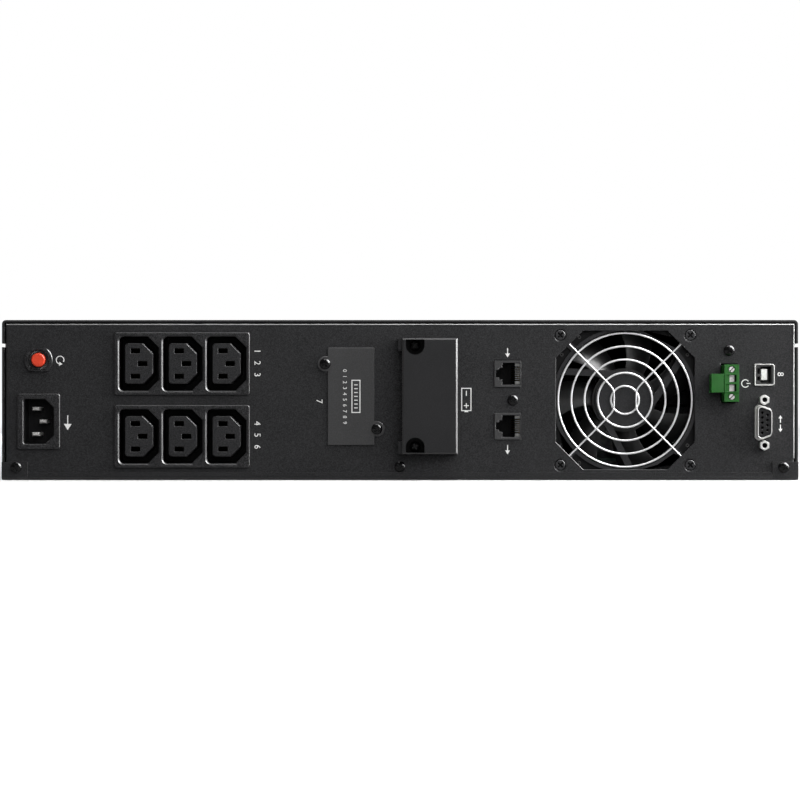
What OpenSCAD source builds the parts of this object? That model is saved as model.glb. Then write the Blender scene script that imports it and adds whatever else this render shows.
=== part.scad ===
// Rackmount power supply, two rack units high, seen from its connector panel.
// Millimetres. +Z is up, -Y is the connector panel, +Y is the display end.
// The origin is the centre of the base pan's underside.

/* [Case] */
// Width across the sides of the top cover
case_w = 438; // [432:1:446]
// Height of the case
case_h = 88; // [87:0.5:92]
// Depth of the sheet-metal case
case_d = 388; // [380:1:450]
// Thickness of the steel sheet
sheet_t = 1.2; // [0.9:0.1:1.4]
// Gap round the rear panel inside the cover
sheet_gap = 0.7; // [0.3:0.1:1]
// Outer bend radius of the top cover
bend_r = 2.2; // [1.6:0.1:3]
// Bevel along the folded edges of the rear panel
panel_bevel = 0.9; // [0.3:0.1:1.1]
// Depth of the folds round the rear panel
fold_d = 10; // [6:1:14]
// Height of the base pan's lip in front of the rear panel
lip_h = 4.3; // [3:0.1:5.5]
// Width of the cover's corner tabs
tab_w = 13.1; // [11:0.1:16]
// Height of the cover's corner tabs
tab_h = 10; // [9:0.1:12]
// Height of the notch in each side of the cover
notch_h = 2; // [1:0.1:4]
// Depth of the notch in each side of the cover
notch_d = 12; // [6:1:16]
// Height of the notch above the middle of the case
notch_v = 30.1; // [20:0.1:34]
// Height of the base pan's side flanges
flange_h = 14; // [12:1:18]
// Width of the base pan's screw tabs
foot_tab_w = 11; // [9:0.5:13]
// Height of the screw tabs above their screws
foot_tab_up = 5; // [4:0.5:8]
// Number of cooling slots in each side of the cover
side_vents = 16; // [4:1:20]
// Width of one cooling slot
side_vent_w = 3; // [2:0.1:3.6]
// Height of one cooling slot
side_vent_h = 34; // [20:1:40]
// Distance of the first cooling slot from the rear edge
side_vent_in = 62; // [50:1:70]
// Spacing of the cooling slots
side_vent_pitch = 9; // [7:0.5:12]

/* [Fasteners] */
// Radius of a case screw's shank
screw_r = 1.45; // [1.2:0.05:1.6]
// Radius of a case screw's head
head_r = 3; // [2.6:0.1:3.2]
// Height of a case screw's head
head_h = 2; // [1.6:0.1:2.4]
// Length of a case screw under its head
screw_len = 7; // [5:0.5:8]
// Radial gap between a screw and its hole
screw_gap = 0.12; // [0.05:0.01:0.3]
// Gap between the lip and the middle foot screw's head
lip_gap = 0.1; // [0.1:0.1:1]
// Height of the corner screws above the underside
foot_screw_z = 7; // [6.6:0.1:8]
// Distance of the side screws from the rear edge and the ears
side_screw_in = 40; // [30:1:50]
// Distance of the corner screws from the sides
corner_screw_in = 8.1; // [7:0.1:9]

/* [Reset breaker] */
// Distance of the breaker and the inlet from the left side
inlet_in = 20.4; // [19:0.1:24]
// Height of the breaker above the middle
reset_v = 22; // [20:0.1:24]
// Radius of the reset button
reset_r = 3.8; // [3:0.1:4.2]
// How far the button stands out of its collar
reset_proud = 1.5; // [1:0.1:3]
// Width of the stop ring round the button's foot
stop_ring = 0.8; // [0.5:0.1:1.2]
// Radius of the breaker's neck
reset_neck_r = 5.6; // [5.4:0.1:6]
// Radius of the collar
collar_r = 7.85; // [7.2:0.05:9]
// Height across the collar's flats
collar_h = 12.4; // [12:0.1:14]
// Thickness of the collar
collar_t = 2.2; // [1.6:0.1:3]
// Width of the breaker's body
breaker_w = 16; // [13:0.5:18]
// Height of the breaker's body
breaker_h = 28; // [20:0.5:29]
// Depth of the breaker's body
breaker_d = 31; // [24:0.5:36]
// Width of the breaker's tails
tag_w = 6.3; // [4.8:0.1:6.3]
// Travel of the button when the breaker trips
reset_out = 4; // [2:0.1:4.5]
// Travel of the button past its seat when pressed
reset_in = 1; // [0.4:0.1:1.4]

/* [Mains inlet] */
// Height of the inlet above the middle
inlet_v = -11.8; // [-14:0.1:-9]
// Width of the inlet's flange
inlet_flange_w = 23.6; // [22.5:0.1:26]
// Height of the inlet's flange
inlet_flange_h = 30.8; // [30:0.1:33]
// Width of the inlet's cavity
inlet_w = 16.6; // [16:0.1:17.4]
// Height of the inlet's cavity
inlet_h = 24.6; // [24:0.1:25.4]
// Chamfer on the cavity's two right-hand corners
inlet_ch = 4.7; // [3:0.1:5.5]
// Depth of the cavity under the flange face
inlet_deep = 17.5; // [15:0.5:20]
// Wall of the inlet's housing
shell_t = 1.6; // [1.2:0.1:2]
// Thickness of the housings' floors
floor_t = 3.5; // [2.5:0.1:5]
// Width of a blade pin
pin_w = 4; // [3.6:0.1:4.2]
// Thickness of a blade pin
pin_t = 2; // [1.8:0.1:2.2]
// Thickness of the contacts' tails
blade_t = 0.8; // [0.6:0.1:1]
// Length of the contacts' tails
tag_l = 8; // [6:0.5:9]

/* [Outlets] */
// Distance of the outlet blocks from the left side
outlet_in = 99.2; // [97:0.1:102]
// Height of each outlet row from the middle
outlet_v = 20; // [19:0.1:20.6]
// Width of an outlet block's flange
outlet_flange_w = 74.6; // [74:0.1:78]
// Height of an outlet block's flange
outlet_flange_h = 34.6; // [33.4:0.1:36]
// Thickness of the connector flanges
flange_t = 1.8; // [1.2:0.1:2.4]
// Corner radius of the connector flanges
flange_r = 1.4; // [1:0.1:2]
// Bevel round the connector flanges
rim_bevel = 0.5; // [0.3:0.1:0.8]
// Distance between two outlets
outlet_pitch = 24.05; // [23.6:0.05:24.5]
// Width of an outlet's recess
recess_w = 21.6; // [20.6:0.1:22]
// Height of an outlet's recess
recess_h = 29.7; // [28.6:0.1:30]
// Chamfer on the recess's two right-hand corners
recess_ch = 5.9; // [4:0.1:7]
// Radius of the recess's left-hand corners
recess_r = 2.4; // [1.5:0.1:3]
// Depth of the recess
recess_deep = 16.5; // [14:0.5:18]
// Wall of an outlet block round its recesses
outlet_wall = 1.2; // [0.8:0.1:1.4]
// Bevel round the mouth of an outlet's recess
mouth_bevel = 0.85; // [0.4:0.05:0.9]
// Width of the socket core inside the recess
core_w = 15.7; // [15:0.1:16.4]
// Height of the socket core
core_h = 22.5; // [22:0.1:23.4]
// Chamfer on the core's two right-hand corners
core_ch = 5.5; // [4:0.1:6.5]
// Radius of the core's left-hand corners
core_r = 2; // [1.2:0.1:2.6]
// Width of a contact slot
slot_w = 5.2; // [4.4:0.1:5.6]
// Height of a contact slot
slot_h = 2.8; // [2.4:0.1:3.2]
// Height of the outer contacts from the middle one
pole_v = 7; // [6.8:0.1:7.2]
// Sideways step between the outer contacts and the earth
pole_step = 4; // [3.6:0.1:4.4]

/* [Expansion slot] */
// Position of the slot cover from the middle
slot_x = -26.9; // [-30:0.1:-25]
// Height of the slot cover above the middle
slot_v = 2; // [-2:0.1:4]
// Width of the slot cover
slot_cover_w = 25.6; // [24:0.1:27]
// Height of the slot cover
slot_cover_h = 53.6; // [48:0.1:60]
// Overlap of the slot cover on the panel at each side
slot_rim = 2.5; // [1.5:0.1:4]
// Sideways distance of the cover's screws
slot_screw_x = 14.2; // [13.4:0.1:15]
// Height of the cover's screws
slot_screw_v = 17.9; // [14:0.1:20]
// Radius of the ears round the cover's screws
slot_ear_r = 4.2; // [3.6:0.1:5]
// Depth of the card cage
cage_d = 80; // [40:1:100]
// Wall of the card cage
cage_t = 1; // [0.8:0.1:1.2]

/* [Battery port] */
// Position of the battery port from the middle
port_x = 16.3; // [15:0.1:20]
// Height of the battery port above the middle
port_v = 2.1; // [0:0.1:5]
// Width of the port's cover
port_w = 30.3; // [28:0.1:33]
// Height of the port's cover
port_h = 63.3; // [58:0.1:66]
// How far the port's cover stands out
port_d = 11; // [9:0.1:14]
// Bevel round the port cover's face
port_bevel = 0.9; // [0.4:0.1:1.4]
// Width of the screw pockets
pocket_w = 10.2; // [8:0.1:11]
// Length of the screw pockets
pocket_h = 9; // [8:0.1:10]
// Distance of the pockets left of the cover's middle
pocket_x = 8; // [7:0.1:9]
// Thickness of the screw pockets' floors
pocket_floor = 2; // [1.5:0.1:3]
// Wall left between a pocket and the cover's edge
pocket_rim = 0.7; // [0.4:0.1:0.8]
// Width of the cover's side tabs
ear_w = 2.1; // [1:0.1:3]
// Height of the cover's side tabs
ear_h = 6.7; // [4:0.1:9]
// Wall of the port's cover
wall = 2; // [1.6:0.1:2.4]
// Step from the cover's face down to its side tabs
ear_sink = 3; // [1:0.1:5]
// Width of the socket's flange behind the panel
socket_rim = 2.5; // [1.5:0.1:3]
// Depth of the socket behind the panel's face
socket_deep = 16; // [12:0.5:20]
// Distance from the cover's side to the socket
socket_side = 4.5; // [3.5:0.1:5.5]
// Distance from the cover's cavity to the socket's ends
socket_end = 3; // [2:0.1:4]
// Width of the socket's contact bars
bar_w = 8; // [6:0.5:9]
// Thickness of the socket's contact bars
bar_t = 2; // [1:0.1:3]

/* [Data jacks] */
// Distance of the data jacks right of the middle between the battery port and the fan
jack_shift = 1.575; // [-2:0.005:4]
// Height of each jack from the middle
jack_v = 14.4; // [12.5:0.1:16]
// Width and height of a jack's face
jack_w = 14.7; // [14.4:0.1:15.4]
// Depth of a jack behind the panel
jack_d = 17; // [14:0.5:20]
// How far a jack stands out of the panel
jack_proud = 0.8; // [0.4:0.1:1.2]
// Spacing of the jack's contact wires
jack_pitch = 1.02; // [0.9:0.01:1.1]
// Thickness of the jack's contact wires
jack_wire = 0.44; // [0.3:0.01:0.5]
// Width of the plug opening
plug_w = 12.1; // [11.8:0.1:12.6]
// Thickness of the plug opening
plug_t = 9.9; // [8:0.1:10]
// Width of the latch's first step
latch_w = 6.4; // [6:0.1:7]
// Width of the latch's second step
catch_w = 4.05; // [3.5:0.05:4.5]
// Depth of each latch step
latch_t = 1.75; // [1:0.05:1.8]
// Sideways offset of the board screw between the jacks
jack_screw_x = 2.8; // [0:0.1:3.6]
// Rim of the jacks' board round the jacks
board_rim = 3; // [2:0.5:4]

/* [Fan] */
// Distance of the fan's axis from the right side
fan_in = 95; // [92:0.1:98]
// Width and height of the fan
fan_size = 80; // [79:0.1:82]
// Spacing of the fan's screws
fan_pitch = 71.5; // [70.5:0.1:72]
// Thickness of the fan
fan_t = 25.4; // [22:0.1:38]
// Radius of the fan's duct
duct_r = 38; // [37.8:0.05:38.6]
// Wall of the fan's duct
duct_t = 1.9; // [1.2:0.1:1.95]
// Thickness of the fan's flanges
lug_t = 4; // [3:0.1:5]
// Radius of the fan's screw lugs
lug_r = 4; // [3:0.1:4.2]
// Step from the fan's face down to its flange
lug_sink = 2; // [1:0.1:3]
// Thickness of the webs to the lugs
web_t = 3.2; // [2:0.1:4]
// Radius of the stator disc
stator_r = 16; // [13:0.1:18]
// Width of a spoke
spoke_t = 3.6; // [2.5:0.1:4]
// Direction of the first spoke
spoke_turn = 57; // [0:1:120]
// Step from the stator's faces down to its spokes
spoke_sink = 0.3; // [0.2:0.1:0.6]
// Step from the fan's face down to its stator
stator_sink = 4; // [3:0.1:6]
// Thickness of the stator disc
stator_t = 2; // [1.5:0.1:3]
// Number of blades
blades = 7; // [5:1:9]
// Wall of the rotor's hub
hub_t = 1.5; // [1:0.1:2]
// Width of a blade
blade_chord = 19; // [12:0.5:20]
// Thickness of a blade
blade_thick = 1.4; // [1:0.1:2]
// Slant of a blade
blade_pitch = 40; // [30:1:45]
// Angle of the first blade at rest
blade_turn = 20.6; // [0:0.1:50]
// Gap between the blade tips and the duct
tip_gap = 0.8; // [0.5:0.1:2]
// Gap between the rotor and the ends of its duct
axial_gap = 1.5; // [1:0.1:2.5]
// Radius of the fan's shaft
shaft_r = 1.5; // [1:0.1:2]
// Radial gap between the shaft and its bearing
bearing_gap = 0.04; // [0.02:0.01:0.08]
// Radius of the bearing tube
bearing_r = 4; // [3:0.1:5]
// Width of the opening in the panel
grille_w = 76.4; // [76:0.1:77]
// Distance of the opening's diagonal edges from the axis
grille_diag = 43.4; // [41:0.1:44.5]
// Thickness of the guard wire
wire_t = 1.5; // [1.2:0.1:1.8]
// Radius of the guard's outer ring
ring_r = 36.9; // [36:0.1:37]
// Number of rings
rings = 5; // [3:1:5]
// Step between two rings
ring_step = 7.3; // [6.5:0.1:7.5]
// Half distance between the guard's two struts
strut_x = 6.1; // [5:0.1:7]
// Gap between a fan screw and the guard's eye
eye_gap = 0.4; // [0.2:0.1:0.6]
// Radius of a fan screw's head
fan_head_r = 3.4; // [3.2:0.1:3.8]
// Radius of a fan screw's shank
fan_screw_r = 1.9; // [1.6:0.1:2.1]
// Width of the slots in a fan screw's head
fan_slot_t = 0.9; // [0.6:0.1:1.2]
// Depth of the slots in a fan screw's head
fan_slot_d = 0.8; // [0.5:0.1:1]
// Length of a fan screw inside the fan
screw_bite = 8; // [5:0.5:12]

/* [Stop plug] */
// Distance of the stop plug's flange from the right side
stop_in = 37.9; // [36:0.1:40]
// Height of the stop plug above the middle
stop_v = 9.2; // [6:0.1:11]
// Width of the plug's flange
stop_flange_w = 8; // [7.4:0.1:9]
// Height of the plug's flange
stop_flange_h = 20.3; // [19.6:0.1:22]
// Width of the plug's body
stop_w = 15.1; // [13:0.1:17]
// Height of the plug's body
stop_h = 10.2; // [9.8:0.1:10.8]
// How far the plug stands out
stop_d = 10.5; // [8:0.1:13]
// Spacing of the two poles
stop_pitch = 5.08; // [4.8:0.01:5.2]
// Spacing of the flange screws
stop_screw_pitch = 15.04; // [14.6:0.01:15.4]
// Radius of a flange screw's head
stop_head_r = 1.55; // [1.3:0.05:1.7]

/* [USB port] */
// Distance of the port from the right side
usb_in = 18.5; // [17:0.1:20]
// Height of the port above the middle
usb_v = 13.9; // [12:0.1:20]
// Width of the port's shell
usb_w = 11; // [10.6:0.1:12]
// Height of the port's shell
usb_h = 11.8; // [11.4:0.1:13]
// Width of the tongue
tongue_w = 3.3; // [2.6:0.1:3.6]
// Height of the tongue
tongue_h = 6; // [5:0.1:6.6]

/* [Serial port] */
// Distance of the port from the right side
serial_in = 19.1; // [18:0.1:21]
// Height of the port above the middle
serial_v = -12.4; // [-16:0.1:-11]
// Height of the D-shaped shell
serial_h = 16.3; // [15.6:0.1:16.8]
// Width of the D-shaped shell
serial_w = 7.9; // [7.6:0.1:8.6]
// How far the shell stands out
serial_d = 5.8; // [5:0.1:6.5]
// Width of the port's flange behind the panel
serial_flange = 12.5; // [11:0.1:13]
// Sheet thickness of the port's flange
serial_t = 0.8; // [0.6:0.1:1]
// Radius of the sockets' holes
contact_r = 0.75; // [0.5:0.05:0.9]
// Depth of the sockets' holes under the shell's rim
contact_deep = 7; // [5:0.5:9]
// Spacing of the sockets in a row
pin_pitch = 2.77; // [2.6:0.01:2.8]
// Spacing of the two rows
row_pitch = 2.84; // [2.6:0.01:2.9]
// Spacing of the jackscrews
jackscrew_pitch = 24.99; // [24.8:0.01:25.4]
// Width of a jackscrew across its flats
jackscrew_af = 4.9; // [4.6:0.1:5]
// Radius of the jackscrew's threaded hole
jackscrew_r = 1.42; // [1.2:0.01:1.5]
// Depth of the jackscrew's threaded hole
jackscrew_deep = 5; // [4:0.1:6]

/* [Front] */
// Depth of the front bezel
bezel_d = 22; // [20:0.5:30]
// Wall of the front bezel
bezel_t = 2.5; // [2:0.1:3]
// Bevel round the bezel's face
bezel_bevel = 4; // [2:0.1:6]
// Width of the display window
window_w = 104; // [90:1:116]
// Height of the display window
window_h = 46; // [40:1:48]
// Thickness of the display window
window_t = 1.5; // [1.2:0.1:1.8]
// Height of the window above the middle
window_v = 9; // [8:0.1:10]
// Height of the buttons from the middle
button_v = -27; // [-28:0.1:-26]
// Spacing of the buttons
button_pitch = 30; // [26:1:36]
// Width of a button
button_w = 18; // [12:0.5:20]
// Height of a button
button_h = 8; // [6:0.1:9]
// How far a button stands out
button_out = 1.4; // [1.2:0.1:2]
// Travel of a button
button_travel = 1; // [0.5:0.1:1]
// Gap between a button and the bezel
button_gap = 0.35; // [0.3:0.01:0.6]
// Number of vent slots in each half of the bezel
front_vents = 17; // [6:1:18]
// Spacing of the vent slots
front_vent_pitch = 7.6; // [7:0.1:7.7]
// Width of a vent slot
front_vent_w = 3; // [2:0.1:3.4]
// Height of a vent slot
front_vent_h = 58; // [40:1:64]
// Distance from the window to the first vent slot
vent_in = 18; // [15:0.5:20]
// Width of the bezel's ledge at each end of the window
ledge_w = 6; // [4:0.5:8]
// Height of the bezel's ledge above and below the window
ledge_h = 4; // [3:0.5:5]
// Gap between the display and the ledge
display_gap = 1; // [0.5:0.1:2]
// Reach of the display's board beyond the window at each end
display_rim = 10; // [9:0.5:12]
// Height of the display's board
display_h = 60; // [58:0.5:66]
// Depth of the display's board behind the bezel's face wall
display_deep = 10; // [8:0.5:12]
// Radius of the bezel's posts for the display's board
display_post_r = 3; // [2.5:0.1:4]
// Distance of the posts from the window's ends
display_post_in = 6; // [5:0.5:8]
// Height of the posts from the middle
display_post_v = 26; // [24:0.5:28]
// Width and height of a button's switch
switch_w = 6; // [5:0.1:7]
// How far a switch stands out of its board
switch_h = 3.4; // [3:0.1:4]
// Width of the cable opening in the front plate
cable_w = 60; // [30:1:90]
// Height of the cable opening in the front plate
cable_h = 20; // [10:1:30]
// Depth of the front plate's foot
plate_foot_d = 12; // [8:0.5:15]
// Distance of the foot from the plate's ends
plate_foot_in = 8; // [4:0.5:12]

/* [Rack ears] */
// Width across the two rack ears
ears_w = 482.6; // [480:0.1:484]
// Thickness of a rack ear
ear_t = 2; // [1.6:0.1:2.5]
// Length of an ear's leg along the case
ear_leg = 60; // [50:1:70]
// Height of the ear screws from the middle
ear_screw_v = 24; // [16:1:30]
// Distance of the ear screws from the leg's ends
ear_screw_in = 14; // [10:1:18]
// Sideways spacing of the rack slots
rack_x = 465.1; // [464:0.1:466]
// Upright spacing of the rack slots
rack_z = 76.2; // [75:0.1:76.6]
// Height of a rack slot
rack_slot_h = 6.8; // [6.2:0.1:7]
// Length of a rack slot
rack_slot_l = 10; // [9:0.1:10.6]

/* [Inside] */
// Width of one battery
battery_w = 95; // [90:1:98]
// Length of one battery
battery_l = 151; // [140:1:155]
// Height of one battery
battery_h = 65; // [60:0.5:66]
// Gap between two batteries
battery_gap = 2; // [1:0.5:4]
// Width of a battery's terminal
terminal_w = 6.3; // [4.8:0.1:8]
// Distance of the terminals from a battery's end
terminal_in = 12; // [8:1:20]
// Height of a battery's terminal
terminal_h = 4; // [3:0.5:6]
// Thickness of the battery tray
tray_t = 1; // [0.8:0.1:1.5]
// Height of the tray's walls
tray_h = 30; // [15:1:50]
// Width of the strap over the batteries
strap_w = 20; // [12:1:40]
// Height of the board standoffs
standoff_h = 8; // [5:0.5:10]
// Radius of a board standoff
standoff_r = 3; // [2.5:0.1:4]
// Radius of a standoff's stud
stud_r = 1.5; // [1.2:0.1:1.8]
// Thickness of a circuit board
board_t = 1.6; // [1.2:0.1:2]
// Width of a board post across its flats
post_af = 5.5; // [5:0.1:6]
// Depth of the ports' board behind the panel's face
comm_d = 13; // [12:0.5:16]
// Height of the ports' board screw above the middle
comm_screw_v = 27.3; // [25:0.1:29]
// Reach of the ports' board beyond its screw
comm_rim = 6; // [4:0.5:8]
// Reach of the ports' board left of the stop plug
comm_left = 9; // [8:0.5:12]
// Gap between the ports' board and the right side
comm_right = 7; // [5:0.5:9]
// Reach of the ports' board below the middle
comm_low = 32; // [30:0.5:34]
// Distance of the power board behind the rear panel
board_in = 46; // [44:1:60]
// Height of the heatsinks
sink_h = 60; // [40:1:64]
// Thickness of a heatsink's stem
sink_t = 5; // [4:0.5:8]
// Width of a heatsink's fins
sink_w = 32; // [20:1:36]
// Number of fins on a heatsink
fins = 7; // [4:1:9]
// Thickness of a fin
fin_t = 1.6; // [1.2:0.1:2]
// Distance between the two heatsinks
sink_step = 56; // [48:1:62]
// Radius of the capacitors
cap_r = 15; // [10:0.5:16]
// Height of the capacitors
cap_h = 45; // [30:1:55]
// Gap between two capacitors
cap_gap = 5; // [3:0.5:8]
// Outer radius of an inductor
coil_r = 27; // [20:0.5:30]
// Radius of an inductor's hole
coil_hole = 12; // [8:0.5:14]
// Height of an inductor
coil_h = 26; // [15:1:40]
// Width of the transformer's core
core_l = 58; // [50:1:64]
// Depth of the transformer's core
core_d = 24; // [18:1:30]
// Height of the transformer's core
core_z = 52; // [40:1:60]
// Depth of the transformer's winding
winding_d = 46; // [40:1:56]

/* [Hidden] */
$fn = 48;
eps = 0.01;
fit = 0.15;
mid_z = case_h / 2;
front_y = case_d / 2;
rear_y = -case_d / 2;
panel_y = rear_y + sheet_t;
inner_w = case_w - 2 * sheet_t;
panel_w = inner_w - 2 * sheet_gap;
panel_top = case_h - sheet_t - sheet_gap;
floor_w = inner_w - 2 * fit;
lip_w = inner_w - 2 * tab_w - 2 * fit;
corner_x = case_w / 2 - corner_screw_in;
lip_screw_z = lip_h + lip_gap + head_r;
foot_points = [[-corner_x, foot_screw_z - mid_z], [0, lip_screw_z - mid_z], [corner_x, foot_screw_z - mid_z]];
hole_r = screw_r + screw_gap;
inlet_x = -case_w / 2 + inlet_in;
outlet_x = -case_w / 2 + outlet_in;
fan_x = case_w / 2 - fan_in;
jack_x = (port_x + port_w / 2 + fan_x - fan_size / 2) / 2 + jack_shift;
stop_x = case_w / 2 - stop_in;
usb_x = case_w / 2 - usb_in;
serial_x = case_w / 2 - serial_in;
fan_face = -sheet_t - wire_t;
fan_back = fan_face - fan_t;
stator_face = fan_face - stator_sink;
stator_back = stator_face - stator_t;
spoke_off = stator_r - spoke_t / 2 - fit;
hub_r = stator_r + hub_t;
ring_drop = 0.8 * wire_t;
strut_steps = 14;
strut_bend = 6;
rotor_top = stator_back - axial_gap;
rotor_bottom = fan_back + axial_gap;
comm_w = -comm_d;
surge_w = -jack_d;
serial_rim = 6;
tab_shift = 1;
jack_right = jack_w / 2 - 0.55;
jack_floor = 4 - jack_d;
slot_floor = 2;
core_step = 0.3;
pin_top = -0.9;
pin_point = 0.7;
thread_gap = 0.05;
slide_gap = 0.3;
breaker_back = -sheet_t - breaker_d;
stop_low = -11;
stop_high = -9;
chamber_low = stop_low - reset_in - slide_gap;
reset_bevel = 0.6;
collar_sink = 0.8;
collar_bevel = 0.5;
inlet_body_w = inlet_w + 2 * shell_t;
inlet_body_h = inlet_h + 2 * shell_t;
inlet_floor = flange_t - inlet_deep;
outlet_body_w = 2 * outlet_pitch + recess_w + 2 * outlet_wall;
outlet_body_h = recess_h + 2 * outlet_wall;
outlet_floor = flange_t - recess_deep;
contact_low = outlet_floor + slot_floor;
outlet_shift = 0.4;
slot_open_w = slot_cover_w - 2 * slot_rim;
slot_open_h = slot_cover_h - 2 * slot_rim - 2 * cage_t;
socket_w = port_w - 2 * socket_side;
socket_h = port_h - 2 * pocket_h - 2 * wall - 2 * socket_end;
pocket_v = port_h / 2 - pocket_h + pocket_w / 2;
pocket_reach = pocket_h - pocket_w / 2 - pocket_rim;
socket_back = -socket_deep;
bezel_face = front_y + bezel_d;
bezel_side = bezel_t + bezel_bevel;
bezel_in = bezel_d - bezel_t - 0.5;
panel_board = bezel_in - display_deep;
window_back = bezel_d - window_t;
display_back = 0.2;
tray_play = 1;
tray_sides = 2 * tray_t + 2 * tray_play;
battery_room = floor_w - 2 * sheet_t - 2 * slide_gap - 3 * tray_t - tray_sides;
battery_count = floor((battery_room + battery_gap) / (battery_w + battery_gap));
tray_w = battery_count * (battery_w + battery_gap) - battery_gap + tray_sides;
tray_l = battery_l + tray_sides;
tray_front = front_y - 16;
tray_rear = tray_front - tray_l;
battery_z = sheet_t + tray_t;
board_rear = panel_y + board_in;
board_front = tray_rear - 6;
board_z = sheet_t + standoff_h;
board_w = case_w - 38;
board_mid = (board_rear + board_front) / 2;
board_l = board_front - board_rear;
deck_z = board_z + board_t;
sink_l = board_l - 30;

case_black = [0.17, 0.17, 0.18];
plate_grey = [0.24, 0.24, 0.25];
plastic_black = [0.11, 0.11, 0.12];
steel = [0.8, 0.8, 0.82];
brass = [0.8, 0.65, 0.3];
signal_red = [0.85, 0.2, 0.12];
plug_green = [0.18, 0.55, 0.18];
white = [0.93, 0.93, 0.9];
board_green = [0.1, 0.35, 0.2];
grey = [0.4, 0.41, 0.43];

// Arc points about a centre, angles in degrees
function arc(x, y, r, a, b, n = 6) =
  [for (i = [0:n]) [x + r * cos(a + (b - a) * i / n), y + r * sin(a + (b - a) * i / n)]];

// Outline with rounded left corners and chamfered right corners
function keyed(w, h, ch, r) = concat(
  [[w / 2, -h / 2 + ch], [w / 2, h / 2 - ch], [w / 2 - ch, h / 2]],
  arc(-w / 2 + r, h / 2 - r, r, 90, 180),
  arc(-w / 2 + r, -h / 2 + r, r, 180, 270),
  [[w / 2 - ch, -h / 2]]
);

// Rectangle with four rounded corners
function rounded(w, h, r) = concat(
  arc(w / 2 - r, h / 2 - r, r, 0, 90),
  arc(-w / 2 + r, h / 2 - r, r, 90, 180),
  arc(-w / 2 + r, -h / 2 + r, r, 180, 270),
  arc(w / 2 - r, -h / 2 + r, r, 270, 360)
);

// D outline, wide side to the left
function dee(w, h, r) = let (s = w * tan(10) / 2) concat(
  arc(w / 2 - r, h / 2 - s - r, r, 0, 80),
  arc(-w / 2 + r, h / 2 + s - r, r, 80, 180),
  arc(-w / 2 + r, -h / 2 - s + r, r, 180, 280),
  arc(w / 2 - r, -h / 2 + s + r, r, 280, 360)
);

// Unit normal of the line from one point to the next
function normal(a, b) = let (d = (b - a) / norm(b - a)) [-d[1], d[0]];

// Direction from a path's point to the mitred edge beside it
function mitre(p, i) = i == 0 ? normal(p[0], p[1]) : i == len(p) - 1 ? normal(p[i - 1], p[i]) :
  let (a = normal(p[i - 1], p[i]), b = normal(p[i], p[i + 1])) (a + b) / (1 + a * b);

// Outline of a band of even width along a path
function band(p, w) = concat(
  [for (i = [0:len(p) - 1]) p[i] + w / 2 * mitre(p, i)],
  [for (i = [len(p) - 1:-1:0]) p[i] - w / 2 * mitre(p, i)]
);

// Frame on the rear panel: x across, y up, z out of the case
module rear(x, v) {
  translate([x, panel_y, mid_z + v]) rotate([90, 0, 0]) children();
}

// Frame on the front edge: x to the left, y up, z out of the case
module front(x, v) {
  translate([x, front_y, mid_z + v]) rotate([90, 0, 180]) children();
}

// Frame on the left or right side: z out of the case
module side(s, y, z, out = 0) {
  translate([s * (case_w / 2 + out), y, z]) rotate([0, s * 90, 0]) children();
}

// Block between two corners
module span(x, y, z) {
  translate([x[0], y[0], z[0]]) cube([x[1] - x[0], y[1] - y[0], z[1] - z[0]]);
}

// Block centred across, between two heights
module box(w, h, a, b) {
  translate([-w / 2, -h / 2, a]) cube([w, h, b - a]);
}

// Cylinder between two heights
module rod(r, a, b) {
  translate([0, 0, a]) cylinder(r = r, h = b - a);
}

// Prism of an outline between two heights
module slab(points, a, b) {
  translate([0, 0, a]) linear_extrude(b - a) polygon(points);
}

// Connector flange with a bevelled face
module flange(w, h) {
  slab(rounded(w, h, flange_r), 0, flange_t - rim_bevel);
  taper(rounded(w, h, flange_r), rounded(w - 2 * rim_bevel, h - 2 * rim_bevel, flange_r - rim_bevel),
    flange_t - rim_bevel, flange_t);
}

// Taper from one outline to another
module taper(lower, upper, a, b) {
  hull() {
    slab(lower, a, a + eps);
    slab(upper, b - eps, b);
  }
}

// Pan-head screw, head above zero
module pan_screw(len) {
  difference() {
    union() {
      rod(head_r, 0, head_h * 0.6);
      translate([0, 0, head_h * 0.6]) cylinder(r1 = head_r, r2 = head_r * 0.72, h = head_h * 0.4);
      rod(screw_r, -len, 0);
    }
    box(head_r * 1.2, head_r * 0.3, head_h * 0.4, head_h + 1);
    box(head_r * 0.3, head_r * 1.2, head_h * 0.4, head_h + 1);
  }
}

// Case

// Cut that rounds the bottom edge at the rear as a bend does
module bottom_bend() {
  rotate([90, 0, 90]) linear_extrude(2 * case_w, center = true) difference() {
    translate([rear_y - 1, -1]) square(bend_r + 1);
    translate([rear_y + bend_r, bend_r]) circle(bend_r);
  }
}

module base_pan() {
  color(case_black) difference() {
    union() {
      span([-floor_w / 2, floor_w / 2], [panel_y, front_y], [0, sheet_t]);
      span([-lip_w / 2, lip_w / 2], [rear_y, panel_y], [0, lip_h]);
      for (s = [-1, 0, 1]) {
        translate([s * (corner_x - tab_shift), panel_y + 1.5 * sheet_t, 0])
          box(foot_tab_w, sheet_t, sheet_t - eps, foot_screw_z + foot_tab_up);
      }
      for (s = [-1, 1]) {
        span([s * (floor_w - sheet_t) / 2 - sheet_t / 2, s * (floor_w - sheet_t) / 2 + sheet_t / 2],
          [panel_y + fold_d + 2 * sheet_t, front_y - 2 * sheet_t], [0, flange_h]);
      }
    }
    bottom_bend();
    for (p = foot_points) rear(p[0], p[1]) rod(hole_r, -3 * sheet_t, 1);
    for (s = [-1, 1]) for (y = side_screw_y) side(s, y, foot_screw_z) rod(hole_r, -4 * sheet_t, 1);
  }
}

side_screw_y = [rear_y + side_screw_in, 0, front_y - ear_leg - side_screw_in];
cover_round = bend_r - sheet_t;

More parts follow.
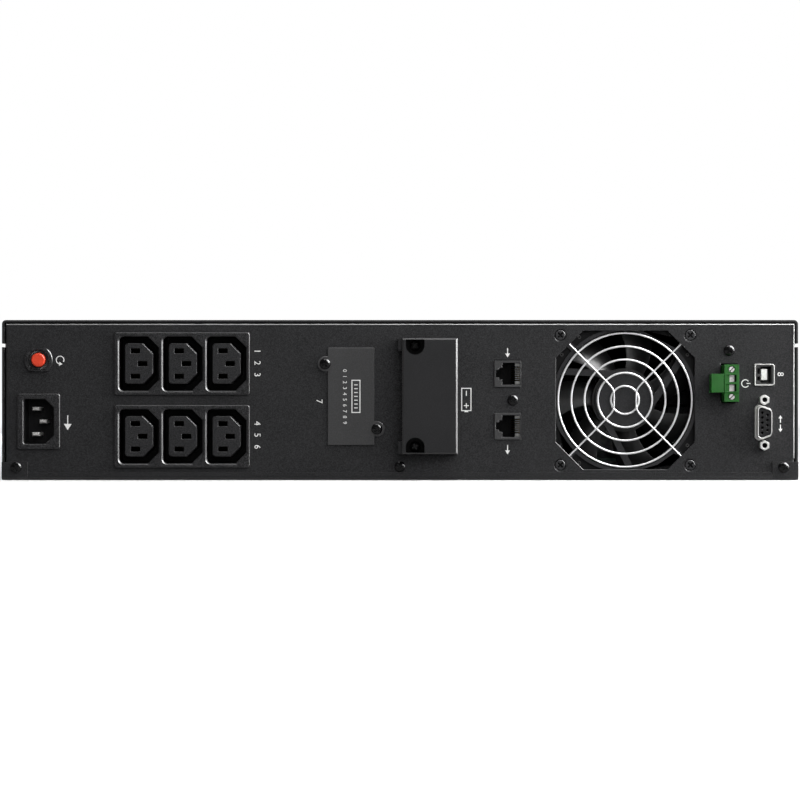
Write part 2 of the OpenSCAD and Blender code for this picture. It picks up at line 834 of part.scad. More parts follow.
module cover_outline(w, h, r) {
  polygon(concat(
    [[-w / 2, 0], [w / 2, 0]], arc(w / 2 - r, h - r, r, 0, 90), arc(-w / 2 + r, h - r, r, 90, 180)
  ));
}

module top_cover() {
  color(case_black) difference() {
    union() {
      translate([0, front_y, 0]) rotate([90, 0, 0]) linear_extrude(case_d) difference() {
        cover_outline(case_w, case_h, bend_r);
        translate([0, -1]) cover_outline(inner_w, case_h - sheet_t + 1, cover_round);
      }
      for (s = [-1, 1]) {
        span([s * (inner_w - tab_w) / 2 - tab_w / 2, s * (inner_w - tab_w) / 2 + tab_w / 2],
          [rear_y, panel_y], [0, tab_h]);
      }
    }
    bottom_bend();
    span([-case_w, case_w], [rear_y - 1, panel_y], [tab_h, case_h + 1]);
    for (s = [-1, 1]) {
      side(s, rear_y, mid_z + notch_v) box(notch_h, 2 * notch_d, -3 * sheet_t, 1);
      rear(s * corner_x, foot_screw_z - mid_z) rod(hole_r, -1, 2 * sheet_t);
      for (y = side_screw_y) side(s, y, foot_screw_z) rod(hole_r, -2 * sheet_t, 1);
      for (p = ear_holes) side(s, p[0], p[1]) rod(hole_r, -2 * sheet_t, 1);
      for (i = [0:side_vents - 1]) {
        side(s, rear_y + side_vent_in + side_vent_pitch * i, mid_z)
          box(side_vent_h, side_vent_w, -2 * sheet_t, 1);
      }
    }
  }
}

module panel_holes() {
  rear(inlet_x, reset_v) rod(reset_neck_r + fit, -2 * sheet_t, 1);
  rear(inlet_x, inlet_v) box(inlet_body_w + 2 * fit, inlet_body_h + 2 * fit, -2 * sheet_t, 1);
  for (s = [-1, 1]) {
    rear(outlet_x, s * outlet_v) box(outlet_body_w + 2 * fit, outlet_body_h + 2 * fit, -2 * sheet_t, 1);
    rear(slot_x - s * slot_screw_x, slot_v + s * slot_screw_v) rod(hole_r, -2 * sheet_t, 1);
    rear(port_x - pocket_x, port_v + s * pocket_v) rod(hole_r, -2 * sheet_t, 1);
    rear(jack_x, s * jack_v) box(jack_w + 2 * fit, jack_w + 2 * fit, -2 * sheet_t, 1);
    rear(serial_x, serial_v + s * jackscrew_pitch / 2) rod(jackscrew_r + 0.3, -2 * sheet_t, 1);
  }
  rear(slot_x, slot_v) box(slot_open_w, slot_open_h, -2 * sheet_t, 1);
  rear(port_x, port_v) box(socket_w + 2 * fit, socket_h + 2 * fit, -2 * sheet_t, 1);
  rear(jack_x + jack_screw_x, 0) rod(hole_r, -2 * sheet_t, 1);
  rear(fan_x, 0) intersection() {
    box(grille_w, grille_w, -2 * sheet_t, 1);
    rotate([0, 0, 45]) box(2 * grille_diag, 2 * grille_diag, -3 * sheet_t, 2);
  }
  rear(fan_x, 0) fan_corners() {
    rod(fan_screw_r + screw_gap, -2 * sheet_t, 1);
    translate([0, 0, -sheet_t - eps])
      cylinder(r1 = fan_screw_r + screw_gap, r2 = fan_head_r + slide_gap, h = sheet_t + 2 * eps);
  }
  rear(stop_x, stop_v) box(stop_flange_w + 1.2, stop_flange_h + 1.2, -2 * sheet_t, 1);
  rear(usb_x, usb_v) box(usb_w + 2 * fit, usb_h + 2 * fit, -2 * sheet_t, 1);
  rear(serial_x, serial_v) slab(dee(serial_w + 1.8, serial_h + 1.8, 2.6), -2 * sheet_t, 1);
  rear(stop_x, comm_screw_v) rod(hole_r, -2 * sheet_t, 1);
  for (p = foot_points) rear(p[0], p[1]) rod(hole_r, -2 * sheet_t, 1);
}

module rear_panel() {
  color(case_black) difference() {
    union() {
      span([-panel_w / 2, panel_w / 2], [panel_y, panel_y + sheet_t], [sheet_t, panel_top]);
      span([-panel_w / 2, panel_w / 2], [panel_y, panel_y + fold_d], [panel_top - sheet_t, panel_top]);
      for (s = [-1, 1]) {
        span([s * (panel_w - sheet_t) / 2 - sheet_t / 2, s * (panel_w - sheet_t) / 2 + sheet_t / 2],
          [panel_y, panel_y + fold_d], [flange_h, panel_top]);
      }
    }
    translate([0, panel_y, panel_top]) rotate([45, 0, 0])
      cube([panel_w + 2, panel_bevel * sqrt(2), panel_bevel * sqrt(2)], center = true);
    for (s = [-1, 1]) {
      translate([s * panel_w / 2, panel_y, mid_z]) rotate([0, 0, 45])
        cube([panel_bevel * sqrt(2), panel_bevel * sqrt(2), 2 * case_h], center = true);
    }
    panel_holes();
  }
}

module foot_screws() {
  color(plastic_black) {
    for (s = [-1, 1]) rear(s * corner_x, foot_screw_z - mid_z)
      translate([0, 0, sheet_t]) pan_screw(screw_len);
    rear(0, lip_screw_z - mid_z) pan_screw(screw_len);
  }
}

module side_screws() {
  color(plastic_black) for (s = [-1, 1]) for (y = side_screw_y)
    side(s, y, foot_screw_z) pan_screw(screw_len - 2);
}

module front_plate() {
  color(case_black) difference() {
    union() {
      span([-panel_w / 2, panel_w / 2], [front_y - sheet_t, front_y], [sheet_t, panel_top]);
      span([plate_foot_in - panel_w / 2, panel_w / 2 - plate_foot_in], [front_y - plate_foot_d, front_y],
        [sheet_t, 2 * sheet_t]);
    }
    for (s = [-1, 1]) front(s * vent_mid, 0) box(vent_span, front_vent_h, -2 * sheet_t, 1);
    front(0, 0) box(cable_w, cable_h, -2 * sheet_t, 1);
  }
}

vent_span = front_vent_pitch * (front_vents - 1) + front_vent_w;
vent_mid = window_w / 2 + vent_in + vent_span / 2;

// Rack ears

ear_screw_y = [front_y - ear_leg + ear_screw_in, front_y - ear_screw_in];
ear_holes = [for (y = ear_screw_y) for (s = [-1, 1]) [y, mid_z + s * ear_screw_v]];

module rack_ear(s) {
  reach = (ears_w - case_w) / 2;
  color(case_black) difference() {
    union() {
      side(s, front_y - ear_leg / 2, mid_z) box(case_h - 1, ear_leg, 0, ear_t);
      side(s, front_y - ear_t / 2, mid_z) box(case_h - 1, ear_t, 0, reach);
    }
    for (p = ear_holes) side(s, p[0], p[1]) rod(hole_r, -1, ear_t + 1);
    for (v = [-1, 1]) front(s * rack_x / 2, v * rack_z / 2) {
      box(rack_slot_l - rack_slot_h, rack_slot_h, -ear_t - 1, 1);
      for (e = [-1, 1]) translate([e * (rack_slot_l - rack_slot_h) / 2, 0, 0])
        rod(rack_slot_h / 2, -ear_t - 1, 1);
    }
  }
}

module rack_ear_left() {
  rack_ear(-1);
}

module rack_ear_right() {
  rack_ear(1);
}

module ear_screws() {
  color(plastic_black) for (s = [-1, 1]) for (p = ear_holes)
    side(s, p[0], p[1], ear_t) pan_screw(screw_len - 1);
}

// Reset breaker

module reset_breaker() {
  color(plastic_black) rear(inlet_x, reset_v) {
    difference() {
      union() {
        box(breaker_w, breaker_h, breaker_back, -sheet_t);
        rod(reset_neck_r, -sheet_t - eps, collar_t - collar_sink);
      }
      rod(reset_r + slide_gap, chamber_low, collar_t);
      rod(reset_r + stop_ring + slide_gap, chamber_low, stop_high + reset_out + slide_gap);
    }
    for (s = [-1, 1]) translate([0, s * breaker_h / 4, 0]) {
      box(tag_w, blade_t, breaker_back - tag_l, breaker_back + eps);
    }
  }
}

module reset_collar() {
  color(plastic_black) rear(inlet_x, reset_v) difference() {
    intersection() {
      union() {
        rod(collar_r, 0, collar_t - collar_bevel);
        translate([0, 0, collar_t - collar_bevel])
          cylinder(r1 = collar_r, r2 = collar_r - collar_bevel, h = collar_bevel);
      }
      box(3 * collar_r, collar_h, -1, collar_t + 1);
    }
    rod(reset_neck_r + thread_gap, -1, collar_t + 1);
  }
}

module reset_button() {
  foot_r = reset_r + stop_ring;
  top = collar_t + reset_proud;
  color(signal_red) rear(inlet_x, reset_v) rotate_extrude() polygon([
    [0, stop_low], [foot_r, stop_low], [foot_r, stop_high], [reset_r, stop_high],
    [reset_r, top - reset_bevel], [reset_r - reset_bevel, top], [0, top]
  ]);
}

// Mains inlet

poles = [[-pole_step / 2, pole_v], [-pole_step / 2, -pole_v], [pole_step / 2, 0]];

module inlet_housing() {
  color(plastic_black) rear(inlet_x, inlet_v) difference() {
    union() {
      flange(inlet_flange_w, inlet_flange_h);
      box(inlet_body_w, inlet_body_h, inlet_floor - floor_t, eps);
    }
    slab(keyed(inlet_w, inlet_h, inlet_ch, 1), inlet_floor, flange_t + 1);
    taper(keyed(inlet_w, inlet_h, inlet_ch, 1),
      keyed(inlet_w + 2 * rim_bevel, inlet_h + 2 * rim_bevel, inlet_ch, 1 + rim_bevel),
      flange_t - rim_bevel, flange_t + eps);
    for (p = poles) translate([p[0], p[1], 0]) {
      box(pin_w + 2 * thread_gap, pin_t + 2 * thread_gap, inlet_floor - floor_t - 1, inlet_floor + 1);
    }
  }
}

module inlet_pins() {
  color(brass) rear(inlet_x, inlet_v) for (p = poles) translate([p[0], p[1], 0]) {
    box(pin_w, pin_t, inlet_floor - floor_t, pin_top - pin_point);
    taper(rounded(pin_w, pin_t, 0.05), rounded(pin_w - 1, pin_t - 1.1, 0.05), pin_top - pin_point, pin_top);
    box(pin_w, blade_t, inlet_floor - floor_t - tag_l, inlet_floor - floor_t);
  }
}

// Outlets

outlet_cols = [-outlet_pitch + outlet_shift, outlet_shift, outlet_pitch + outlet_shift];

module outlet_block(v) {
  color(plastic_black) rear(outlet_x, v) difference() {
    union() {
      difference() {
        union() {
          flange(outlet_flange_w, outlet_flange_h);
          box(outlet_body_w, outlet_body_h, outlet_floor - floor_t, eps);
        }
        for (x = outlet_cols) translate([x, 0, 0]) {
          slab(keyed(recess_w, recess_h, recess_ch, recess_r), outlet_floor, flange_t + 1);
          taper(keyed(recess_w, recess_h, recess_ch, recess_r),
            keyed(recess_w + 2 * mouth_bevel, recess_h + 2 * mouth_bevel, recess_ch, recess_r + mouth_bevel),
            flange_t - mouth_bevel, flange_t + eps);
        }
      }
      for (x = outlet_cols) translate([x, 0, 0]) {
        slab(keyed(core_w, core_h, core_ch, core_r), outlet_floor - eps, flange_t - 2 * core_step);
        slab(keyed(core_w - 2 * core_step, core_h - 2 * core_step, core_ch, core_r - core_step),
          flange_t - 2 * core_step - eps, flange_t - core_step);
      }
    }
    for (x = outlet_cols) for (p = poles) translate([x + p[0], p[1], 0]) {
      box(slot_w, slot_h, contact_low, flange_t + 1);
      box(pin_w + 2 * thread_gap, blade_t + 2 * thread_gap, outlet_floor - floor_t - 1, contact_low + 1);
    }
  }
}

module outlet_block_upper() {
  outlet_block(outlet_v);
}

module outlet_block_lower() {
  outlet_block(-outlet_v);
}

module outlet_contacts(v) {
  color(brass) rear(outlet_x, v) for (x = outlet_cols) for (p = poles) translate([x + p[0], p[1], 0]) {
    difference() {
      box(slot_w - 4 * thread_gap, slot_h - 4 * thread_gap, contact_low, contact_low + tag_l);
      box(slot_w, slot_h - 1.5 * blade_t, contact_low + blade_t, flange_t);
    }
    box(pin_w, blade_t, outlet_floor - floor_t - tag_l, contact_low + eps);
  }
}

module outlet_contacts_upper() {
  outlet_contacts(outlet_v);
}

module outlet_contacts_lower() {
  outlet_contacts(-outlet_v);
}

// Expansion slot

module slot_cover() {
  color(plate_grey) rear(slot_x, slot_v) difference() {
    union() {
      box(slot_cover_w, slot_cover_h, 0, sheet_t);
      for (s = [-1, 1]) translate([-s * slot_screw_x, s * slot_screw_v, 0]) rod(slot_ear_r, 0, sheet_t);
    }
    for (s = [-1, 1]) translate([-s * slot_screw_x, s * slot_screw_v, 0]) rod(hole_r, -1, sheet_t + 1);
  }
}

module slot_cover_screws() {
  color(plastic_black) rear(slot_x, slot_v) for (s = [-1, 1])
    translate([-s * slot_screw_x, s * slot_screw_v, sheet_t]) pan_screw(screw_len - 1);
}

module card_cage() {
  color(steel) rear(slot_x, slot_v) difference() {
    box(slot_open_w + 2 * cage_t, slot_open_h + 2 * cage_t, -sheet_t - cage_d, -sheet_t);
    box(slot_open_w, slot_open_h, -sheet_t - cage_d - 1, 0);
  }
}

// Battery port

module port_cover() {
  color(plastic_black) rear(port_x, port_v) difference() {
    union() {
      box(port_w, port_h, 0, port_d - port_bevel);
      taper(rounded(port_w, port_h, 0.1), rounded(port_w - 2 * port_bevel, port_h - 2 * port_bevel, 0.1),
        port_d - port_bevel, port_d);
      for (s = [-1, 1]) translate([-port_w / 2, s * (port_h - ear_h) / 2, 0])
        span([-ear_w, wall / 2], [-ear_h / 2, ear_h / 2], [0, port_d - ear_sink]);
    }
    box(port_w - 2 * wall, port_h - 2 * pocket_h - 2 * wall, -1, port_d - wall);
    for (s = [-1, 1]) translate([-pocket_x, s * pocket_v, 0]) {
      difference() {
        union() {
          rod(pocket_w / 2, pocket_floor, port_d + 1);
          translate([0, s * pocket_h, 0]) box(pocket_w, 2 * pocket_h, pocket_floor, port_d + 1);
        }
        translate([0, s * (pocket_reach + pocket_h), 0]) box(2 * pocket_w, 2 * pocket_h, 0, port_d + 2);
      }
      rod(hole_r, -1, pocket_floor + 1);
    }
  }
}

module port_cover_screws() {
  color(plastic_black) rear(port_x, port_v) for (s = [-1, 1])
    translate([-pocket_x, s * pocket_v, pocket_floor]) pan_screw(screw_len);
}

module port_socket() {
  color(plastic_black) rear(port_x, port_v) difference() {
    union() {
      box(socket_w, socket_h, socket_back, port_d - 2 * wall);
      box(socket_w + 2 * socket_rim, socket_h + 2 * socket_rim, socket_back, -sheet_t);
    }
    for (s = [-1, 1]) translate([0, s * socket_h / 4, 0]) {
      box(socket_w - 3 * wall, socket_h / 2 - 3 * wall, socket_back + 3 * wall, port_d);
      box(bar_w + 2 * thread_gap, bar_t + 2 * thread_gap, socket_back - 1, socket_back + 3 * wall + 1);
    }
  }
}

module port_contacts() {
  color(brass) rear(port_x, port_v) for (s = [-1, 1]) translate([0, s * socket_h / 4, 0])
    box(bar_w, bar_t, socket_back - tag_l, bar_t);
}

// Data jacks

module data_jack(v) {
  color(plastic_black) rear(jack_x, v) difference() {
    box(jack_w, jack_w, -jack_d, jack_proud);
    span([jack_right - plug_t, jack_right], [-plug_w / 2, plug_w / 2], [jack_floor, 2]);
    span([jack_right - plug_t - latch_t, jack_right], [-latch_w / 2, latch_w / 2], [jack_floor, 2]);
    span([jack_right - plug_t - 2 * latch_t, jack_right], [-catch_w / 2, catch_w / 2], [jack_floor, 2]);
  }
}

module data_jack_upper() {
  data_jack(jack_v);
}

module data_jack_lower() {
  data_jack(-jack_v);
}

module jack_contacts() {
  color(brass) for (s = [-1, 1]) rear(jack_x, s * jack_v) for (i = [0:7])
    translate([0, (i - 3.5) * jack_pitch, 0]) {
      translate([jack_right - jack_wire, 0, 0]) box(jack_wire, jack_wire, jack_floor, -2);
      translate([jack_right - jack_wire, 0, -2 - jack_wire]) rotate([0, -157, 0])
        box(jack_wire, jack_wire, 0, -jack_floor - 3.5);
    }
}

module surge_board() {
  color(board_green) rear(jack_x, 0) difference() {
    box(jack_w + 2 * board_rim, 2 * jack_v + jack_w + 2 * board_rim, surge_w - board_t, surge_w);
    translate([jack_screw_x, 0, 0]) rod(hole_r, surge_w - 3, surge_w + 1);
  }
}

// Fan

module fan_corners() {
  for (x = [-1, 1]) for (y = [-1, 1]) translate([x * fan_pitch / 2, y * fan_pitch / 2, 0]) children();
}

// Spoke that leaves the stator's rim along its tangent and ends in the duct's wall
module spoke(a) {
  reach = sqrt(pow(duct_r + duct_t / 2, 2) - pow(spoke_off, 2));
  rotate([0, 0, a]) translate([0, -spoke_off, 0])
    span([0, reach], [-spoke_t / 2, spoke_t / 2], [stator_back + spoke_sink, stator_face - spoke_sink]);
}

module fan_frame() {
  color(plastic_black) rear(fan_x, 0) {
    difference() {
      union() {
        rod(duct_r + duct_t, fan_back, fan_face);
        slab(rounded(fan_size, fan_size, lug_r - 1), fan_face - lug_sink - lug_t, fan_face - lug_sink);
        slab(rounded(fan_size, fan_size, lug_r - 1), fan_back, fan_back + lug_t);
        fan_corners() rod(lug_r, fan_back, fan_face);
        for (a = [45, 135, 225, 315]) rotate([0, 0, a])
          span([duct_r + duct_t / 2, fan_pitch / sqrt(2)], [-web_t / 2, web_t / 2],
            [fan_face - lug_t, fan_face]);
      }
      rod(duct_r, fan_back - 1, fan_face + 1);
      fan_corners() rod(fan_screw_r + screw_gap, fan_back - 1, fan_face + 1);
    }
    difference() {
      union() {
        rod(stator_r, stator_back, stator_face);
        for (i = [0:2]) spoke(spoke_turn + 120 * i);
        rod(bearing_r, rotor_bottom + hub_t + axial_gap, stator_back + eps);
      }
      rod(shaft_r + bearing_gap, rotor_bottom, stator_back + stator_t / 2);
    }
  }
}

module blade() {
  mid = (rotor_top + rotor_bottom) / 2;
  intersection() {
    difference() {
      rod(duct_r - tip_gap, rotor_bottom, rotor_top);
      rod(hub_r - hub_t / 2, rotor_bottom - 1, rotor_top + 1);
    }
    translate([0, 0, mid]) rotate([blade_pitch, 0, 0])
      span([0, duct_r], [-blade_chord / 2, blade_chord / 2], [-blade_thick / 2, blade_thick / 2]);
  }
}

module fan_rotor() {
  color(plastic_black) rear(fan_x, 0) {
    difference() {
      rod(hub_r, rotor_bottom, rotor_top);
      rod(hub_r - hub_t, rotor_bottom + hub_t, rotor_top + 1);
    }
    rod(shaft_r, rotor_bottom + hub_t / 2, stator_back + stator_t / 4);
    for (i = [0:blades - 1]) rotate([0, 0, blade_turn + 360 / blades * i]) blade();
  }
}

// A strut leaves the diagonal smoothly and passes upright beside the axis
module fan_guard() {
  eye_r = fan_screw_r + eye_gap;
  end = fan_pitch / 2 - (eye_r + wire_t / 2) / sqrt(2);
  path = [for (i = [-strut_steps:strut_steps]) let (y = end * i / strut_steps)
    [pow(pow(strut_x, strut_bend) + pow(abs(y), strut_bend), 1 / strut_bend), y]];
  color(steel) rear(fan_x, 0) {
    translate([0, 0, -sheet_t - wire_t]) linear_extrude(wire_t) difference() {
      union() {
        for (m = [0, 1]) mirror([m, 0]) polygon(band(path, wire_t));
        fan_corners() circle(r = eye_r + wire_t);
      }
      fan_corners() circle(r = eye_r);
    }
    for (i = [0:rings - 1]) translate([0, 0, -sheet_t - wire_t / 2 - ring_drop])
      rotate_extrude() translate([ring_r - ring_step * i, 0]) circle(d = wire_t, $fn = 24);
  }
}

module fan_screws() {
  color(plastic_black) rear(fan_x, 0) fan_corners() difference() {
    union() {
      translate([0, 0, -sheet_t]) cylinder(r1 = fan_screw_r, r2 = fan_head_r, h = sheet_t);
      rod(fan_screw_r, fan_face - screw_bite, -sheet_t);
    }
    for (a = [45, 135]) rotate([0, 0, a]) box(fan_head_r * 1.1, fan_slot_t, -fan_slot_d, 1);
  }
}

// Stop plug

module stop_header() {
  color(plug_green) rear(stop_x, stop_v) difference() {
    box(stop_flange_w, stop_flange_h, comm_w, 0.4);
    box(stop_flange_w - 1.6, stop_h, comm_w + 3, 1);
    for (s = [-1, 1]) translate([0, s * stop_screw_pitch / 2, 0]) rod(stop_head_r - 0.1, comm_w + 2, 1);
  }
}

module stop_plug() {
  left = stop_w - stop_flange_w / 2;
  color(plug_green) rear(stop_x, stop_v) difference() {
    union() {
      box(stop_flange_w, stop_flange_h, 0.8, stop_d - 0.6);
      span([-left, stop_flange_w / 2], [-stop_h / 2, stop_h / 2], [0.8, stop_d]);
      box(stop_flange_w - 2.4, stop_h - 0.8, comm_w + 5, 0.9);
    }
    span([-stop_flange_w / 2 - 0.5, -stop_flange_w / 2], [-stop_h, stop_h], [stop_d - 1.2, stop_d + 1]);
    for (s = [-1, 1]) {
      translate([0.6, s * stop_pitch / 2, 0]) box(3.7, 4, stop_d - 7, stop_d + 1);
      translate([0.6, s * stop_pitch / 2, 0]) span([-3.9, -1.8], [-2, 2], [stop_d - 0.6, stop_d + 1]);
      translate([0, s * stop_screw_pitch / 2, 0]) rod(stop_head_r + 0.3, stop_d - 2.4, stop_d + 1);
      translate([0, s * stop_screw_pitch / 2, 0]) rod(stop_head_r - 0.2, 0, stop_d);
    }
  }
}

module stop_plug_metal() {
  color(steel) rear(stop_x, stop_v) for (s = [-1, 1]) {
    translate([0, s * stop_screw_pitch / 2, 0]) difference() {
      union() {
        rod(stop_head_r, stop_d - 2.4, stop_d - 1);
        rod(stop_head_r - 0.3, comm_w + 5, stop_d - 2.4 + eps);
      }
      rotate([0, 0, 48]) box(4 * stop_head_r, 0.6, stop_d - 1.6, stop_d);
    }
    translate([0.2, s * stop_pitch / 2, 0]) box(2.7, 3.8, stop_d - 7, stop_d - 2);
  }
}

// USB port

module usb_shell() {
  color(steel) rear(usb_x, usb_v) difference() {
    slab(keyed(usb_w, usb_h, 0.9, 0.5), comm_w, 0.8);
    slab(keyed(usb_w - 1, usb_h - 1, 0.7, 0.3), comm_w + 1, 2);
  }
}

module usb_insert() {
  color(white) rear(usb_x, usb_v) {
    difference() {
      slab(keyed(usb_w - 1.06, usb_h - 1.06, 0.7, 0.3), comm_w + 1, 0.4);
      span([-usb_w / 2 + 1.4, usb_w / 2 - 1.6], [-usb_h / 2 + 2.6, usb_h / 2 - 2.2], [comm_w + 4, 2]);
      span([-usb_w / 2 + 3.2, usb_w / 2 - 1.6], [-usb_h / 2 + 1.4, usb_h / 2 - 1.3], [comm_w + 4, 2]);
    }
    translate([-0.1, 0.1, 0]) box(tongue_w, tongue_h, comm_w + 4 - eps, -0.4);
    translate([-usb_w / 2 + 2.6, -0.3, 0]) box(2.6, 1.2, comm_w + 4 - eps, -0.2);
  }
}

// Serial port

module serial_shell() {
  color(steel) rear(serial_x, serial_v) difference() {
    union() {
      box(serial_flange, jackscrew_pitch + serial_rim, -sheet_t - serial_t, -sheet_t);
      slab(dee(serial_w + 1.5, serial_h + 1.5, 2.5), -sheet_t - serial_t, 0.3);
      slab(dee(serial_w, serial_h, 2.2), 0, serial_d);
    }
    slab(dee(serial_w - 1, serial_h - 1, 1.8), -4, serial_d + 1);
    for (s = [-1, 1]) translate([0, s * jackscrew_pitch / 2, 0]) rod(jackscrew_r + 0.3, -4, 0);
  }
}

module serial_insert() {
  color(plastic_black) rear(serial_x, serial_v) difference() {
    slab(dee(serial_w - 1.06, serial_h - 1.06, 1.75), comm_w, serial_d - 0.5);
    for (i = [0:4]) translate([-row_pitch / 2, (i - 2) * pin_pitch, 0])
      rod(contact_r, serial_d - contact_deep, serial_d);
    for (i = [0:3]) translate([row_pitch / 2, (i - 1.5) * pin_pitch, 0])
      rod(contact_r, serial_d - contact_deep, serial_d);
  }
}

module serial_jackscrews() {
  color(steel) rear(serial_x, serial_v) for (s = [-1, 1]) translate([0, s * jackscrew_pitch / 2, 0])
    difference() {
      union() {
        rotate([0, 0, 30]) cylinder(d = jackscrew_af / cos(30), h = jackscrew_deep, $fn = 6);
        rod(jackscrew_r, -6, eps);
      }
      rod(jackscrew_r, eps, jackscrew_deep + 1);
    }
}

module comm_board() {
  left = stop_x - comm_left;
  right = case_w / 2 - comm_right;
  color(board_green) rear(0, 0) difference() {
    span([left, right], [-comm_low, comm_screw_v + comm_rim], [comm_w - board_t, comm_w]);
    translate([stop_x, comm_screw_v, 0]) rod(hole_r, comm_w - 4, comm_w + 1);
  }
}

module board_posts() {
  color(brass) {
    rear(stop_x, comm_screw_v) difference() {
      hex_post(comm_w);
      rod(hole_r, comm_w - 1, 0);
    }
    rear(jack_x + jack_screw_x, 0) difference() {
      hex_post(surge_w);
      rod(hole_r, surge_w - 1, 0);
    }
  }
}

// Hexagonal post from a board up to the rear panel
module hex_post(a) {
  translate([0, 0, a]) cylinder(d = post_af / cos(30), h = -sheet_t - a, $fn = 6);
}

module board_screws() {
  color(plastic_black) {
    rear(stop_x, comm_screw_v) pan_screw(screw_len);
    rear(jack_x + jack_screw_x, 0) pan_screw(screw_len);
  }
}

// Power electronics

standoff_x = board_w / 2 - 2 * standoff_r;
standoff_y = board_l / 2 - 2 * standoff_r;

module standoff_corners() {
  for (x = [-1, 1]) for (y = [-1, 1]) translate([x * standoff_x, y * standoff_y, 0]) children();
}

module power_board() {
  color(board_green) translate([0, board_mid, 0]) difference() {
    box(board_w, board_l, board_z, deck_z);
    standoff_corners() rod(stud_r + screw_gap, board_z - 1, deck_z + 1);
  }
}

module board_standoffs() {
  color(brass) translate([0, board_mid, 0]) standoff_corners() {
    rod(standoff_r, sheet_t, board_z);
    rod(stud_r, board_z - eps, deck_z + stud_r);
  }
}

module heatsinks() {
  step = sink_h / fins;
  color(grey) for (s = [-1, 1]) translate([fan_x + s * sink_step / 2, board_mid, deck_z]) {
    box(sink_t, sink_l, 0, sink_h);
    for (i = [0:fins - 1]) translate([0, 0, (i + 0.5) * step]) box(sink_w, sink_l, -fin_t / 2, fin_t / 2);
  }
}

cap_x = slot_x + slot_open_w / 2 + cage_t + cap_gap + cap_r;
cap_step = 2 * cap_r + cap_gap;

module capacitors() {
  color(plastic_black) for (i = [0:2]) for (j = [0, 1])
    translate([cap_x + j * cap_step, board_mid + (i - 1) * cap_step, deck_z]) rod(cap_r, 0, cap_h);
}

coil_x = inlet_x + breaker_w + coil_r + cap_gap;

module inductors() {
  color(brass) for (s = [-1, 1]) translate([coil_x, board_mid + s * (coil_r + cap_gap), deck_z])
    difference() {
      rod(coil_r, 0, coil_h);
      rod(coil_hole, -1, coil_h + 1);
    }
}

module transformer() {
  color(grey) translate([coil_x + coil_r + cap_gap + core_l / 2, board_mid, deck_z]) {
    box(core_l, core_d, 0, core_z);
    box(0.76 * core_l, winding_d, 0.15 * core_z, 0.85 * core_z);
  }
}

// Batteries

module battery_tray() {
  color(steel) translate([0, tray_front - tray_l / 2, 0]) difference() {
    box(tray_w, tray_l, sheet_t, sheet_t + tray_h);
    box(tray_w - 2 * tray_t, tray_l - 2 * tray_t, battery_z, sheet_t + tray_h + 1);
  }
}

module batteries() {
  color(grey) for (i = [0:battery_count - 1])
    translate([(i - (battery_count - 1) / 2) * (battery_w + battery_gap), tray_front - tray_l / 2, 0]) {
    box(battery_w, battery_l, battery_z, battery_z + battery_h);
    for (s = [-1, 1]) translate([s * battery_w / 3, -battery_l / 2 + terminal_in, battery_z + battery_h])
      box(terminal_w, blade_t, -eps, terminal_h);
  }
}

module battery_strap() {
  y = tray_front - tray_l / 2;
  leg_x = tray_w / 2 + tray_t;
  top = battery_z + battery_h;
  color(steel) translate([0, y, 0]) {
    box(2 * leg_x + tray_t, strap_w, top, top + tray_t);
    for (s = [-1, 1]) translate([s * leg_x, 0, 0]) box(tray_t, strap_w, sheet_t, top + eps);
  }
}

// Front

button_xs = [-button_pitch, 0, button_pitch];

module bezel_block() {
  intersection() {
    span([-case_w / 2, case_w / 2], [front_y, bezel_face], [0, case_h]);
    translate([0, 0, -1]) linear_extrude(case_h + 2) polygon([
      [-case_w / 2, front_y], [case_w / 2, front_y], [case_w / 2, bezel_face - bezel_bevel],
      [case_w / 2 - bezel_bevel, bezel_face], [-case_w / 2 + bezel_bevel, bezel_face],
      [-case_w / 2, bezel_face - bezel_bevel]
    ]);
    rotate([90, 0, 90]) translate([0, 0, -case_w]) linear_extrude(2 * case_w) polygon([
      [front_y, 0], [bezel_face - bezel_bevel, 0], [bezel_face, bezel_bevel],
      [bezel_face, case_h - bezel_bevel], [bezel_face - bezel_bevel, case_h], [front_y, case_h]
    ]);
  }
}

module front_bezel() {
  color(plastic_black) {
    difference() {
      bezel_block();
      front(0, 0) box(case_w - 2 * bezel_side, case_h - 2 * bezel_side, -1, bezel_in);
      for (s = [-1, 1]) for (i = [0:front_vents - 1])
        front(s * (window_w / 2 + vent_in + front_vent_w / 2 + front_vent_pitch * i), 0)
          box(front_vent_w, front_vent_h, bezel_in - 1, bezel_d + 1);
      front(0, window_v) box(window_w + 2 * fit, window_h + 2 * fit, window_back, bezel_d + 1);
      front(0, window_v) box(window_w - 2 * ledge_w, window_h - 2 * ledge_h, bezel_in - 1, bezel_d + 1);
      for (x = button_xs) front(x, button_v)
        box(button_w + 2 * button_gap, button_h + 2 * button_gap, bezel_in - 1, bezel_d + 1);
    }
    for (s = [-1, 1]) for (v = [-1, 1]) front(s * (window_w / 2 + display_post_in), v * display_post_v)
      rod(display_post_r, panel_board, bezel_in + eps);
  }
}

module display_board() {
  color(board_green) front(0, 0) {
    box(window_w + 2 * display_rim, display_h, panel_board - board_t, panel_board);
    for (x = button_xs) translate([-x, button_v, 0])
      box(switch_w, switch_w, panel_board - eps, panel_board + switch_h);
  }
}

module display_module() {
  inset = 2 * display_gap;
  color(grey) front(0, window_v)
    box(window_w - 2 * ledge_w - inset, window_h - 2 * ledge_h - inset, panel_board, bezel_in - display_back);
}

module display_window() {
  color([0.05, 0.06, 0.07]) front(0, window_v) box(window_w, window_h, window_back, bezel_d);
}

